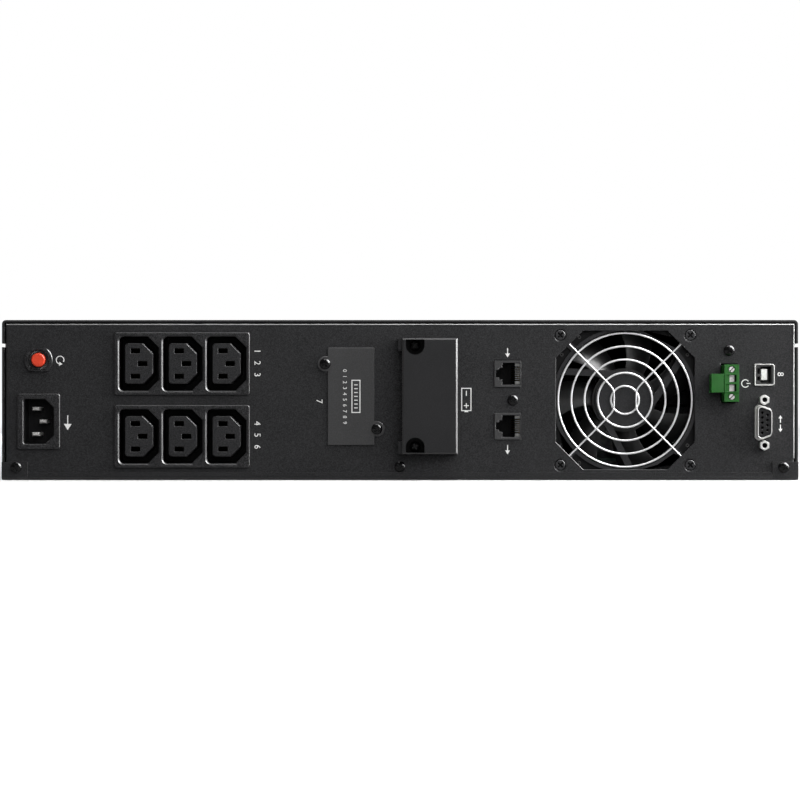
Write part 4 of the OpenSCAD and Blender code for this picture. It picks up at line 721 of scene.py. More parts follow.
def display_glass(name):
    """Dark display cover: smooth, with faint wipe marks in its gloss."""
    material, tree, shader = shader_of(name, Coat_Weight=0.6, Coat_Roughness=0.04)
    handled = group_node(tree, "Handling", smudge=28.0, hairline=500.0)
    toned = mix_colour(tree, handled["Smudge"], (0.0045, 0.005, 0.006), (0.008, 0.0085, 0.0095))
    feed(tree, shader, Base_Color=toned, Roughness=worn_gloss(tree, handled, 0.06, 0.10, 0.06))
    return material


def mark_ink(name, colour):
    """Printed ink: a little thin in places, dull."""
    material, tree, shader = shader_of(name)
    grained = group_node(tree, "Fine grain", grain=5200.0, mottle=700.0)
    worn = math_node(tree, "MULTIPLY", grained["Mottle"], 0.18)
    toned = mix_colour(tree, worn, colour, times(colour, 0.55))
    feed(tree, shader, Base_Color=toned, Roughness=range_node(tree, grained["Fleck"], 0, 1, 0.48, 0.66))
    bumped(tree, shader, grained["Height"], 0.08, 0.02 * MM)
    return material


def paints_and_plastics(chosen):
    """The values of each coated finish. Depths of painted shade are given from the panel's face, or from the
    piece's own.
    """
    powder = dict(colour=chosen.coat, grain=2300.0, rough=0.50, bump=0.35, spread=0.45)
    grained = dict(colour=times(chosen.plastic, 1.3), grain=2300.0, rough=0.44, bump=0.50, spread=0.8)
    smooth = dict(grain=2600.0, rough=0.36, bump=0.14, spread=0.2)
    return {
        "Powder coat": powder,
        # painted shade: the cover's rear edge face above 11 mm darkens to a quarter, for the shade in the gap
        # at the panel
        "Cover coat": dict(
            powder, shade_planes=(COVER_REAR + 0.30 * MM, COVER_REAR + 0.10 * MM), dark=0.25, floor=11 * MM),
        "Plate coat": dict(colour=chosen.plate, grain=2300.0, rough=0.48, bump=0.22, spread=0.15),
        # painted shade: the groove round each fan screw's head darkens almost to black
        "Fan screw coat": dict(
            colour=times(chosen.coat, 1.5), grain=2300.0, rough=0.44, bump=0.20,
            shade_planes=(PANEL_FACE + 0.1 * MM, PANEL_FACE + 0.4 * MM), dark=0.03),
        # painted shade: the inlet's and port's recesses darken to half their tone with depth
        "Grained plastic": dict(
            grained, edge=0.6, shade_planes=(PANEL_FACE - 0.6 * MM, PANEL_FACE + 6.0 * MM), dark=0.5),
        # painted shade: the outlets' and reset collar's recesses darken with depth
        "Outlet plastic": dict(
            grained, edge=0.7, shade_planes=(PANEL_FACE - 0.6 * MM, PANEL_FACE + 2.5 * MM), dark=0.15),
        "Bezel plastic": dict(colour=chosen.plastic, grain=2300.0, rough=0.42, bump=0.30, spread=0.4),
        # painted shade: the port cover darkens from 3.5 mm to 7 mm in from its face, towards the panel
        "Cover plastic": dict(
            smooth, colour=times(chosen.plastic, 1.15),
            shade_planes=(PORT_FACE + 3.5 * MM, PORT_FACE + 7.0 * MM), dark=0.1),
        "Smooth plastic": dict(smooth, colour=chosen.plastic),
        "Dull plastic": dict(smooth, colour=chosen.plastic, rough=0.50, edge=0.05),
        # painted shade: the data jacks' mouths darken with depth
        "Jack plastic": dict(
            colour=chosen.jack, grain=2400.0, rough=0.42, bump=0.16, spread=0.15,
            shade_planes=(PANEL_FACE - 0.2 * MM, PANEL_FACE + 4.0 * MM), dark=0.10),
        # painted shade: the fan's frame beyond 36.5 mm from its axis and over 3 mm in darkens, for the
        # panel's shade on its corners
        "Fan plastic": dict(
            colour=times(chosen.plastic, 1.6), grain=2200.0, rough=0.34, bump=0.10, spread=0.15,
            shade_planes=(PANEL_FACE + 3.0 * MM, PANEL_FACE + 3.6 * MM), dark=0.30, reach=36.5 * MM),
        "Rotor plastic": dict(
            colour=(0.010, 0.010, 0.0103), grain=2200.0, rough=0.34, bump=0.05, specular=0.5, spread=0.1,
            edge=0),
        "Filter foam": dict(colour=(0.006, 0.006, 0.006), grain=900.0, rough=0.90, bump=0.9, specular=0.02),
        "Comb grey": dict(colour=(0.17, 0.17, 0.165), grain=2400.0, rough=0.42, bump=0.12, spread=0.15),
        "Port grey": dict(colour=(0.060, 0.060, 0.060), grain=2400.0, rough=0.42, bump=0.14, spread=0.15),
        # painted shade: black for the insides of bores and slots
        "Thread black": dict(
            colour=(0.003, 0.003, 0.003), grain=2400.0, rough=0.55, bump=0.10, specular=0.05),
        "Black anodised": dict(
            colour=(0.004, 0.004, 0.0045), grain=2400.0, rough=0.50, bump=0.10, specular=0.08, edge=0),
        "Battery case": dict(colour=(0.028, 0.029, 0.032), grain=1400.0, rough=0.46, bump=0.22),
        "Display grey": dict(colour=(0.09, 0.10, 0.095), grain=1800.0, rough=0.40, bump=0.10),
        "Button plastic": dict(colour=(0.030, 0.030, 0.032), grain=2200.0, rough=0.42, bump=0.18),
    }


def glossy_plastics(chosen):
    """The values of each coloured plastic."""
    return {
        "Reset red": dict(colour=chosen.red, rough=0.30),
        "Plug green": dict(colour=chosen.green, rough=0.34),
        "Port white": dict(colour=(0.78, 0.78, 0.76), rough=0.36),
        "Capacitor sleeve": dict(colour=(0.012, 0.016, 0.05), rough=0.32),
    }


METALS = {
    "Guard plating": dict(colour=(0.88, 0.88, 0.89), rough=0.28, metal=0.4),
    # painted highlight: a pale metal for the bead on the panel's lit top and right bends
    "Bare sheet edge": dict(colour=(0.42, 0.42, 0.42), rough=0.40),
    "Nickel": dict(colour=(0.66, 0.655, 0.64), rough=0.34, metal=0.6),
    "Shadowed brass": dict(colour=(0.020, 0.017, 0.012), rough=0.55, tarnish=0.6),
    "Brass": dict(colour=(0.30, 0.22, 0.11), rough=0.36, tarnish=0.6),
    "Zinc sheet": dict(colour=(0.22, 0.225, 0.23), rough=0.50, scratch=0.2, tarnish=0.6),
}


def finish(name):
    """One of the part's finishes, made the first time that it is asked for."""
    if name in bpy.data.materials:
        return bpy.data.materials[name]
    chosen = bpy.context.scene.supply_finish
    kinds = (
        (coated, paints_and_plastics(chosen)),
        (glossy_plastic, glossy_plastics(chosen)),
        (plated, METALS),
        (mark_ink, {"Printed ink": dict(colour=chosen.ink)}),
        (screw_black, {"Blackened screw steel": {}}),
        (circuit_green, {"Circuit board": {}}),
        (copper_winding, {"Enamelled copper": {}}),
        (display_glass, {"Display cover": {}}),
    )
    maker, values = next((maker, rows[name]) for maker, rows in kinds if name in rows)
    return maker(name, **values)


def dress_all(rows):
    """Dress solids, from rows of a finish, an edge and the solids that share them."""
    for name, edge, nodes in rows:
        for node in nodes:
            dress(node, finish(name), edge)


# Screws

# Turn of the first recess, and from each recess to the next
REAR_TURNS = (0.5, 1.9)
SIDE_TURNS = (0.3, 1.7)


def cross_angles(radius, slot, turn):
    """Angles of each ring's 32 points: per quarter an arm's two edges, a point outside each and four between.

    An arm of half width s has its edges at asin(s / r) to each side of its middle.
    """
    widest = 0.55
    outside = 1.2
    edge = np.arcsin(np.minimum(slot / radius, widest))[:, None]
    outer = outside * edge
    between = outer + np.linspace(0, 1, 6)[None, 1:-1] * (np.pi / 2 - 2 * outer)
    quarter = np.concatenate([-outer, -edge, edge, outer, between], axis=1)
    return np.concatenate([quarter + turn + np.pi / 2 * index for index in range(4)], axis=1)


def cross_head(radius, out, sunk, slot, turn, centre, facing):
    """A turned screw with a cross recess: rings of (radius, out), where the points in the arms lie sunk."""
    angle = cross_angles(radius, slot, turn)
    in_arm = np.tile(np.array([0, 1, 1, 0, 0, 0, 0, 0], bool), 4)
    height = np.where(in_arm, sunk[:, None], out[:, None])
    across = radius[:, None] * np.cos(angle)
    up = radius[:, None] * np.sin(angle)
    points = set_on(across, up, height, centre, facing)
    return capped(points.reshape(-1, 3), len(radius), angle.shape[1])


def pan_screw(screws, radius, length, turn, centre, facing):
    """A pan-head screw whose seat is at the centre.

    The head is half an ellipse on a short straight side: out = side + (rise - side) *
    sqrt(1 - (0.97 r / R)^2). The recess has a round middle and four arms with a flat floor.
    """
    share = np.array([0.10, 0.25, 0.29, 0.60, 0.64, 0.72, 0.80, 0.87, 0.93, 0.97, 1.0])
    arm_end = 0.62
    dome = screws.side + (screws.rise - screws.side) * np.sqrt(1 - (0.97 * share) ** 2)
    floor = screws.rise - screws.depth
    dome[:2] = floor
    sunk = np.where(share < arm_end, floor, dome)
    rings = np.concatenate([share * radius, [radius, screws.shank, screws.shank]])
    lower = [0, 0, -length]
    out = np.concatenate([dome, lower])
    return cross_head(rings, out, np.concatenate([sunk, lower]), screws.slot, turn, centre, facing)


def flush_screw(screws, radius, length, shank, turn, centre, facing):
    """A countersunk screw whose head is flush with the centre's face.

    The head is a disc with a cross recess, a groove and a rim. Below the rim a cone runs down to the shank.
    """
    share = np.array([0.08, 0.20, 0.24, 0.55, 0.59, 0.74, 0.78, 0.80, 0.96, 0.97, 1.0])
    arm_end = 0.57
    groove = -screws.groove
    disc = -0.05 * MM
    step = -0.15 * MM
    out = np.array([groove, groove, disc, disc, disc, disc, step, groove, groove, 0, 0])
    sunk = np.where(share < arm_end, groove, out)
    rings = np.concatenate([share * radius, [shank, shank]])
    lower = [shank - radius, -length]
    out = np.concatenate([out, lower])
    return cross_head(rings, out, np.concatenate([sunk, lower]), screws.slot, turn, centre, facing)


# Operators

class SUPPLY_OT_case(bpy.types.Operator):
    """Coat the sheet metal"""

    bl_idname = "supply.case"
    bl_label = "Case"

    def execute(self, context):
        edge = context.scene.supply_finish.sheet_edge
        dress_all([
            ("Cover coat", edge, ("top_cover",)),
            ("Powder coat", edge, ("base_pan", "rear_panel", "front_plate")),
            ("Powder coat", edge, ("rack_ear_left", "rack_ear_right")),
            ("Plate coat", edge, ("slot_cover",)),
            ("Zinc sheet", 0, ("card_cage",)),
        ])
        return {"FINISHED"}


class SUPPLY_OT_screws(bpy.types.Operator):
    """Turn the case's screws, with domed heads and cross recesses"""

    bl_idname = "supply.screws"
    bl_label = "Screws"

    def execute(self, context):
        screws = context.scene.supply_screws
        for node in ("foot_screws", "slot_cover_screws", "port_cover_screws", "board_screws"):
            surfaces = [self.rear_screw(screws, *row) for row in enumerate(islands(node))]
            self.place(node, surfaces, "Blackened screw steel")
        for node in ("side_screws", "ear_screws"):
            surfaces = [self.side_screw(screws, *row) for row in enumerate(islands(node))]
            self.place(node, surfaces, "Blackened screw steel")
        surfaces = [self.fan_screw(screws, *box) for box in islands("fan_screws")]
        self.place("fan_screws", surfaces, "Fan screw coat")
        return {"FINISHED"}

    def rear_screw(self, screws, index, box):
        """A pan-head screw in the rear."""
        low, high = box
        middle = middle_of(low, high)
        seat = (middle[0], low[1] + screws.rise, middle[2])
        length = high[1] - low[1] - screws.rise
        turn = REAR_TURNS[0] + REAR_TURNS[1] * index
        return pan_screw(screws, (high[0] - low[0]) / 2, length, turn, seat, REAR)

    def side_screw(self, screws, index, box):
        """A pan-head screw in a side, whose head looks away from the middle of the case."""
        low, high = box
        middle = middle_of(low, high)
        sign = np.sign(middle[0])
        head = high[0] if sign > 0 else low[0]
        seat = (head - sign * screws.rise, middle[1], middle[2])
        length = high[0] - low[0] - screws.rise
        turn = SIDE_TURNS[0] + SIDE_TURNS[1] * index
        return pan_screw(screws, (high[2] - low[2]) / 2, length, turn, seat, (sign, 0, 0))

    def fan_screw(self, screws, low, high):
        """A countersunk screw in a corner of the fan, with its recess on the slant."""
        shank = 1.9 * MM
        middle = middle_of(low, high)
        face = (middle[0], low[1], middle[2])
        return flush_screw(screws, (high[0] - low[0]) / 2, high[1] - low[1], shank, math.pi / 4, face, REAR)

    def place(self, node, surfaces, name):
        """One object for a node's screws, in its stead."""
        set_name = node.replace("screws", "screw_set")
        piece = new_piece(set_name, *joined(surfaces), finish(name), CHASSIS, smooth_angle=32)
        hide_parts(node)


class SUPPLY_OT_connectors(bpy.types.Operator):
    """Finish the inlet, outlets, ports and plugs"""

    bl_idname = "supply.connectors"
    bl_label = "Connectors"

    def execute(self, context):
        fine = context.scene.supply_finish.fine_edge
        moulded = context.scene.supply_finish.moulded_edge
        dress_all([
            ("Reset red", moulded, ("reset_button",)),
            ("Outlet plastic", fine, ("reset_collar",)),
            ("Smooth plastic", fine, ("reset_breaker", "serial_insert")),
            ("Grained plastic", moulded, ("inlet_housing",)),
            ("Outlet plastic", moulded, ("outlet_block_upper", "outlet_block_lower")),
            ("Shadowed brass", 0, ("outlet_contacts_upper", "outlet_contacts_lower")),
            ("Cover plastic", moulded, ("port_cover",)),
            ("Grained plastic", 0, ("port_socket",)),
            ("Nickel", 0, ("port_contacts",)),
            ("Jack plastic", 2 * fine, ("data_jack_upper", "data_jack_lower")),
            ("Brass", 0, ("jack_contacts",)),
            ("Plug green", fine, ("stop_header",)),
            ("Plug green", moulded, ("stop_plug",)),
            # painted shade: the USB insert dark grey, for the shade inside the port round the white tongue
            ("Port grey", fine, ("usb_insert",)),
            ("Nickel", fine, ("inlet_pins", "stop_plug_metal")),
            ("Nickel", fine, ("usb_shell", "serial_shell", "serial_jackscrews")),
        ])
        return {"FINISHED"}


class SUPPLY_OT_trims(bpy.types.Operator):
    """Add the small trims: the panel's highlight bead, reset ring, threads, tongue, combs and slotted screws
    """

    bl_idname = "supply.trims"
    bl_label = "Trims"

    def execute(self, context):
        self.panel_highlight_bead()
        self.reset_ring()
        self.threads()
        self.tongue()
        self.combs()
        self.slotted_screws()
        return {"FINISHED"}

    def panel_highlight_bead(self):
        """A pale metal bead along the panel's top edge and down its right side: a rounded bend that the lamps
        light, made pale and kept to the lit sides as a painted highlight.
        """
        bead = 0.32 * MM
        left = PANEL_LOW.x + 0.6 * MM
        right = PANEL_HIGH.x - 0.5 * MM
        foot = 12 * MM
        depth = np.full(60, PANEL_FACE + 0.05 * MM)
        steps = np.linspace(0, 1, len(depth))[:, None]
        corners = np.array([(left, PANEL_FACE_TOP), (right, PANEL_FACE_TOP), (right, foot)])
        surfaces = []
        for start, stop in zip(corners[:-1], corners[1:]):
            line = start + steps * (stop - start)
            surfaces.append(tube(np.stack([line[:, 0], depth, line[:, 1]], axis=1), bead, sides=12))
        look = finish("Bare sheet edge")
        piece = new_piece("panel_highlight_bead", *joined(surfaces), look, CHASSIS, smooth_angle=60)

    def combs(self):
        """The comb between the contacts of each data jack: seven thin bars and two end blocks."""
        inset = 2.0 * MM
        bars = [(1.02 * index, 0.40) for index in range(-3, 4)]
        ends = [(-4.95, 1.75), (4.95, 1.75)]
        surfaces = []
        for node in ("data_jack_upper", "data_jack_lower"):
            low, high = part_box(node)
            middle = (low.z + high.z) / 2
            for offset, thick in bars + ends:
                surfaces.append(rounded_block(
                    width=2.8 * MM, height=thick * MM, low=-5.0 * MM, high=-0.4 * MM, corner=0.12 * MM,
                    edge=0.10 * MM, centre=(high.x - inset, PANEL_FACE, middle + offset * MM), facing=REAR))
        piece = new_piece("jack_combs", *joined(surfaces), finish("Comb grey"), CHASSIS, smooth_angle=40)

    def reset_ring(self):
        """A ring with radial teeth on its face: out = 1.45 mm + 0.25 mm * (1 + cos(teeth * angle)) / 2."""
        teeth = 40
        angle = np.linspace(0, 2 * np.pi, 8 * teeth, endpoint=False)
        toothed = 1.45 * MM + 0.25 * MM * (1 + np.cos(teeth * angle)) / 2
        foot = np.full_like(angle, 1.35 * MM)
        radius = np.array([4.25, 4.35, 5.35, 5.45])[:, None] * MM
        out = np.stack([foot, toothed, toothed, foot])
        points = set_on(radius * np.cos(angle), radius * np.sin(angle), out, RESET_CENTRE, REAR)
        ring = closed(points.reshape(-1, 3), grid_faces(*out.shape, wrap_rows=True, wrap_cols=True))
        piece = new_piece("reset_ring", *ring, finish("Dull plastic"), CHASSIS, smooth_angle=25)

    def threads(self):
        """A threaded bore in each jackscrew, black as painted shade inside the hole: radius = 1.2 mm + 0.14
        mm * |(depth / pitch) mod 1 - 1 / 2|.
        """
        pitch = 0.7
        depth = np.arange(0.5, 4.75, 0.1)
        ridge = 1.2 + 0.14 * np.abs((depth / pitch) % 1 - 0.5)
        profile = np.array([(0.6, 0.3), *zip(ridge, depth), (1.41, 4.75), (1.41, 0.1)]) * MM
        surfaces = []
        for low, high in islands("serial_jackscrews"):
            middle = middle_of(low, high)
            surfaces.append(lathe(profile, (middle[0], PANEL_FACE, middle[2]), REAR, sides=28))
        look = finish("Thread black")
        piece = new_piece("jackscrew_threads", *joined(surfaces), look, CHASSIS, smooth_angle=30)

    def tongue(self):
        """The white tongue in the USB port, with a rounded front edge."""
        off_middle = 0.1 * MM
        low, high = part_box("usb_insert")
        centre = ((low.x + high.x) / 2 - off_middle, PANEL_FACE, (low.z + high.z) / 2 + off_middle)
        block = rounded_block(
            width=3.4 * MM, height=6.1 * MM, low=-8 * MM, high=-0.3 * MM, corner=0.35 * MM, edge=0.3 * MM,
            centre=centre, facing=REAR)
        piece = new_piece("usb_tongue", *block, finish("Port white"), CHASSIS, smooth_angle=40)

    def slotted_screws(self):
        """The stop plug's screws: two half discs on a black disc, which is painted shade in the slot between
        them.
        """
        radius = 1.4 * MM
        half_slot = 0.25 * MM
        rise = 0.45 * MM
        floor = [(radius, -0.1 * MM), (radius, 0.05 * MM)]
        floors = []
        heads = []
        for low, high in islands("stop_plug_metal")[:2]:
            middle = middle_of(low, high)
            centre = (middle[0], low[1], middle[2])
            floors.append(lathe(floor, centre, REAR, sides=28))
            for turn in (math.pi / 4, 5 * math.pi / 4):
                heads.append(half_disc(radius, half_slot, 0.0, rise, turn, centre, REAR))
        rows = (("plug_slot_floors", floors, "Thread black"), ("plug_screw_heads", heads, "Nickel"))
        for name, surfaces, look in rows:
            piece = new_piece(name, *joined(surfaces), finish(look), "stop_plug", smooth_angle=30)


class SUPPLY_OT_inside(bpy.types.Operator):
    """Finish the boards, batteries and parts inside the case"""

    bl_idname = "supply.inside"
    bl_label = "Inside"

    def execute(self, context):
        battery_edge = 1.0 * MM
        dress_all([
            ("Circuit board", 0, ("surge_board", "comm_board", "power_board", "display_board")),
            ("Brass", 0, ("board_posts", "board_standoffs")),
            ("Black anodised", 0, ("heatsinks",)),
            ("Capacitor sleeve", 0, ("capacitors",)),
            ("Enamelled copper", 0, ("inductors",)),
            ("Zinc sheet", 0, ("transformer", "battery_tray", "battery_strap")),
            ("Battery case", battery_edge, ("batteries",)),
        ])
        return {"FINISHED"}


class SUPPLY_OT_front(bpy.types.Operator):
    """Finish the front bezel, its window and its buttons"""

    bl_idname = "supply.front"
    bl_label = "Front"

    def execute(self, context):
        edge = context.scene.supply_finish.moulded_edge
        dress_all([
            ("Bezel plastic", 2 * edge, ("front_bezel",)),
            ("Display grey", 0, ("display_module",)),
            ("Display cover", edge, ("display_window",)),
            ("Button plastic", edge, ("button_left", "button_middle", "button_right")),
        ])
        self.filters()
        return {"FINISHED"}

    def filters(self):
        """A sheet of dust foam behind each field of slots, in the bezel's hollow."""
        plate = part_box("front_plate")[1].y
        surfaces = []
        for sign in (-1, 1):
            surfaces.append(rounded_block(
                VENT_WIDE, VENT_HIGH, low=0.05 * MM, high=1.5 * MM, corner=2 * MM, edge=0.3 * MM,
                centre=(sign * VENT_MIDDLE, plate, PANEL_MIDDLE), facing=FRONT))
        piece = new_piece("dust_filters", *joined(surfaces), finish("Filter foam"), CHASSIS, smooth_angle=40)


def blade_surface(fan, angle, low, high, tip):
    """One blade: a cambered section carried from the hub to the tip, each station on its own cylinder.

    A section's loop is a along the chord and b across it, with b = camber * (1 - (2a/c)^2) plus or minus
    thickness * sqrt(1 - (2a/c)^2) / 2. Turned by the pitch p, s = a cos p - b sin p runs round the cylinder
    and w = a sin p + b cos p along the axis, so the point stands at the angle: blade + sweep + s / r.
    """
    stations = np.linspace(0, 1, 18)[:, None]
    loop = np.linspace(0, 2 * np.pi, 48, endpoint=False)[None, :]
    root = fan.hub - 0.4 * MM
    radius = root + stations * (tip - root)
    chord = fan.root_chord + stations * (fan.tip_chord - fan.root_chord)
    pitch = fan.root_pitch + stations * (fan.tip_pitch - fan.root_pitch)
    thickness = (1.9 - 0.9 * stations) * MM
    camber = 0.075 * chord
    across = np.cos(loop)
    a = chord / 2 * across
    b = camber * (1 - across ** 2) + thickness / 2 * np.sin(loop)
    s = a * np.cos(pitch) - b * np.sin(pitch)
    w = a * np.sin(pitch) + b * np.cos(pitch)
    sweep = math.radians(10) * stations ** 1.5 - math.radians(5)
    turn = angle + sweep + s / radius
    depth = np.clip((low + high) / 2 + w, low, high)
    points = on_fan(radius * np.cos(turn), radius * np.sin(turn), depth).reshape(-1, 3)
    return capped(points, *turn.shape)


class SUPPLY_OT_rotor(bpy.types.Operator):
    """Build the fan's rotor: a cupped hub with its shaft and cambered, twisted blades"""

    bl_idname = "supply.rotor"
    bl_label = "Fan rotor"

    def execute(self, context):
        fan = context.scene.supply_fan
        hub_depth = 16.4 * MM
        fillet = 1.2 * MM
        low = PANEL_FACE - ROTOR_HIGH.y
        high = low + hub_depth
        shaft_top = PANEL_FACE - ROTOR_LOW.y
        tip = (ROTOR_HIGH.z - ROTOR_LOW.z) / 2
        turn = np.linspace(-np.pi / 2, 0, 7)
        bend = fan.hub - fillet
        rounded = [(bend + fillet * math.cos(t), low + fillet + fillet * math.sin(t)) for t in turn]
        inner = fan.hub - fan.hub_wall
        floor = low + fan.hub_wall
        profile = [(fan.shaft, low), (fan.hub - 2 * fillet, low)] + rounded + [
            (fan.hub, high), (inner, high), (inner, floor), (fan.shaft, floor), (fan.shaft, shaft_top)]
        surfaces = [lathe(profile, FAN_CENTRE, REAR, sides=72)]
        for index in range(fan.blades):
            angle = fan.first_angle + 2 * math.pi * index / fan.blades
            surfaces.append(blade_surface(fan, angle, low, high, tip))
        look = finish("Rotor plastic")
        rotor = new_piece("rotor_blades", *joined(surfaces), look, "fan_rotor", smooth_angle=40)
        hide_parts("fan_rotor")
        return {"FINISHED"}


class SUPPLY_OT_guard(bpy.types.Operator):
    """Build the fan's finger guard from round wire, and finish the fan's frame"""

    bl_idname = "supply.guard"
    bl_label = "Fan guard"

    def execute(self, context):
        fan = context.scene.supply_fan
        frame_edge = 0.15 * MM
        dress("fan_frame", finish("Fan plastic"), frame_edge)
        look = finish("Guard plating")
        guard = new_piece("guard_wires", *joined(self.wires(fan)), look, CHASSIS, smooth_angle=50)
        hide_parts("fan_guard")
        self.studs()
        return {"FINISHED"}

    def wires(self, fan):
        """Rings, two struts that bend outwards, and an eye round each screw.

        A strut stands off the middle by the sixth root of strut^6 + up^6, so it is straight in the middle and
        runs along the diagonals at its ends.
        """
        radius = fan.wire / 2
        thin = fan.strut_wire / 2
        sunk_share = 0.8
        strut_out = PANEL_FACE - GUARD_FACE - thin
        ring_out = strut_out - sunk_share * (radius + thin)
        surfaces = []
        turn = np.linspace(0, 2 * np.pi, 120, endpoint=False)
        for index in range(fan.rings):
            ring = fan.outer_ring - index * fan.ring_step
            path = on_fan(ring * np.cos(turn), ring * np.sin(turn), np.full_like(turn, ring_out))
            surfaces.append(tube(path, radius, sides=14, wrap=True))
        corner = fan.screw_pitch / 2
        up = (corner - fan.eye / math.sqrt(2)) * np.linspace(-1, 1, 121)
        for side in (-1, 1):
            across = side * (fan.strut ** 6 + np.abs(up) ** 6) ** (1 / 6)
            surfaces.append(tube(on_fan(across, up, np.full_like(up, strut_out)), thin, sides=14))
        small = np.linspace(0, 2 * np.pi, 40, endpoint=False)
        out = np.full_like(small, strut_out)
        for across in (-corner, corner):
            for rise in (-corner, corner):
                path = on_fan(across + fan.eye * np.cos(small), rise + fan.eye * np.sin(small), out)
                surfaces.append(tube(path, thin, sides=10, wrap=True))
        return surfaces

    def studs(self):
        """Eight small hollow studs on the fan's corners, to each side of the diagonals."""
        reach = 42.8 * MM
        off_diagonal = 9.2
        base = PANEL_FACE - FAN_LOW.y - 2 * MM
        profile = [(0.45, -0.2), (0.45, 0.25), (0.55, 0.4), (0.95, 0.4), (1.05, 0.25), (1.05, -0.2)]
        rings = [(radius * MM, base + rise * MM) for radius, rise in profile]
        surfaces = []
        for diagonal in (45, 135, 225, 315):
            for side in (-off_diagonal, off_diagonal):
                turn = math.radians(diagonal + side)
                across = FAN_CENTRE[0] + reach * math.cos(turn)
                up = FAN_CENTRE[2] + reach * math.sin(turn)
                surfaces.append(hoop(rings, (across, PANEL_FACE, up), REAR, sides=20))
        studs = new_piece("fan_studs", *joined(surfaces), finish("Port grey"), CHASSIS, smooth_angle=30)


# Marks

def stroke(path, width, wrap=False):
    """A flat line of one width along a path of (right, up) points, mitred at its corners.

    Each point moves half the width to both sides, across the mean of the two directions that meet there, over
    the cosine of half the turn.
    """
    path = np.asarray(path, float)
    after = np.roll(path, -1, axis=0) - path
    before = path - np.roll(path, 1, axis=0)
    if not wrap:
        after[-1] = before[-1]
        before[0] = after[0]
    after = after / np.linalg.norm(after, axis=1, keepdims=True)
    before = before / np.linalg.norm(before, axis=1, keepdims=True)
    tangent = (before + after) / np.linalg.norm(before + after, axis=1, keepdims=True)
    mitre = np.einsum("ij,ij->i", before, tangent)[:, None].clip(0.5)
    side = np.stack([-tangent[:, 1], tangent[:, 0]], axis=1) * width / 2 / mitre
    points = np.concatenate([path + side, path - side])
    count = len(path)
    index = np.arange(count if wrap else count - 1)
    following = (index + 1) % count
    faces = np.stack([index, index + count, following + count, following], axis=1)
    return points, faces.tolist()


def arc_path(radius, start, stop):
    """Points of an arc about the middle, with its angles in degrees."""
    turn = np.radians(np.linspace(start, stop, 28))
    return np.stack([radius * np.cos(turn), radius * np.sin(turn)], axis=1)


def moved(shape, right, up):
    """A flat shape moved across."""
    points, faces = shape
    return points + np.array([right, up]), faces


def turned(shape, degrees):
    """A flat shape turned about the middle."""
    angle = math.radians(degrees)
    turn = np.array([[math.cos(angle), math.sin(angle)], [-math.sin(angle), math.cos(angle)]])
    return shape[0] @ turn, shape[1]


def arrow_head(length):
    """A triangle that points right, with the middle of its base at the origin."""
    half = 0.62 * length
    return np.array([(length, 0), (0, half), (0, -half)]), [[0, 1, 2]]


def arrow(length, line):
    """An arrow along the right, about its middle."""
    half = length / 2
    head = 0.42 * length
    return joined([stroke([(-half, 0), (half - head, 0)], line), moved(arrow_head(head), half - head, 0)])


def plus_sign(half, line):
    """A plus of three strokes that meet without overlap."""
    return joined([
        stroke([(-half, 0), (half, 0)], line),
        stroke([(0, line / 2), (0, half)], line),
        stroke([(0, -half), (0, -line / 2)], line)])


def frame_outline(width, height, line):
    """A rectangle drawn with a line."""
    w = width / 2
    h = height / 2
    return stroke([(-w, -h), (w, -h), (w, h), (-w, h)], line, wrap=True)


def figures(text, height):
    """Printed figures, centred, as flat faces: text set as a curve and turned into a mesh."""
    height_share = 0.70
    curve = bpy.data.curves.new("figures", "FONT")
    curve.body = text
    curve.size = height / height_share
    curve.align_x = "CENTER"
    curve.align_y = "CENTER"
    curve.resolution_u = 4
    holder = bpy.data.objects.new("figures", curve)
    bpy.context.scene.collection.objects.link(holder)
    bpy.context.view_layer.update()
    mesh = bpy.data.meshes.new_from_object(holder.evaluated_get(bpy.context.evaluated_depsgraph_get()))
    points = np.zeros(len(mesh.vertices) * 3, np.float32)
    mesh.vertices.foreach_get("co", points)
    faces = [list(face.vertices) for face in mesh.polygons]
    bpy.data.objects.remove(holder)
    bpy.data.curves.remove(curve)
    bpy.data.meshes.remove(mesh)
    return points.reshape(-1, 3)[:, :2].astype(float), faces


def reading_down(shape, x, z, y):
    """A flat shape on the rear: its right runs down, its up runs to the right, facing out of the rear."""
    points, faces = shape
    placed = np.stack([x + points[:, 1], np.full(len(points), y), z - points[:, 0]], axis=1)
    return placed, faces


def upright_front(shape, x, z, y):
    """A flat shape on the front, the right way up for a reader there."""
    points, faces = shape
    return np.stack([x - points[:, 0], np.full(len(points), y), z + points[:, 1]], axis=1), faces


def faced(shape, direction):
    """A flat shape whose faces all point along a direction."""
    points, faces = shape
    kept = []
    for face in faces:
        corner = points[face]
        area = np.cross(corner, np.roll(corner, -1, axis=0)).sum(axis=0)
        kept.append(face if np.dot(area, direction) > 0 else face[::-1])
    return points, kept


def print_marks(name, shapes, direction, lift, body=CHASSIS):
    """One object of printed marks, as thick as its ink."""
    points, faces = faced(joined(shapes), np.array(direction))
    marks = new_piece(name, points, faces, finish("Printed ink"), body)
    ink = marks.modifiers.new("Ink", "SOLIDIFY")
    ink.thickness = lift
    ink.offset = -1


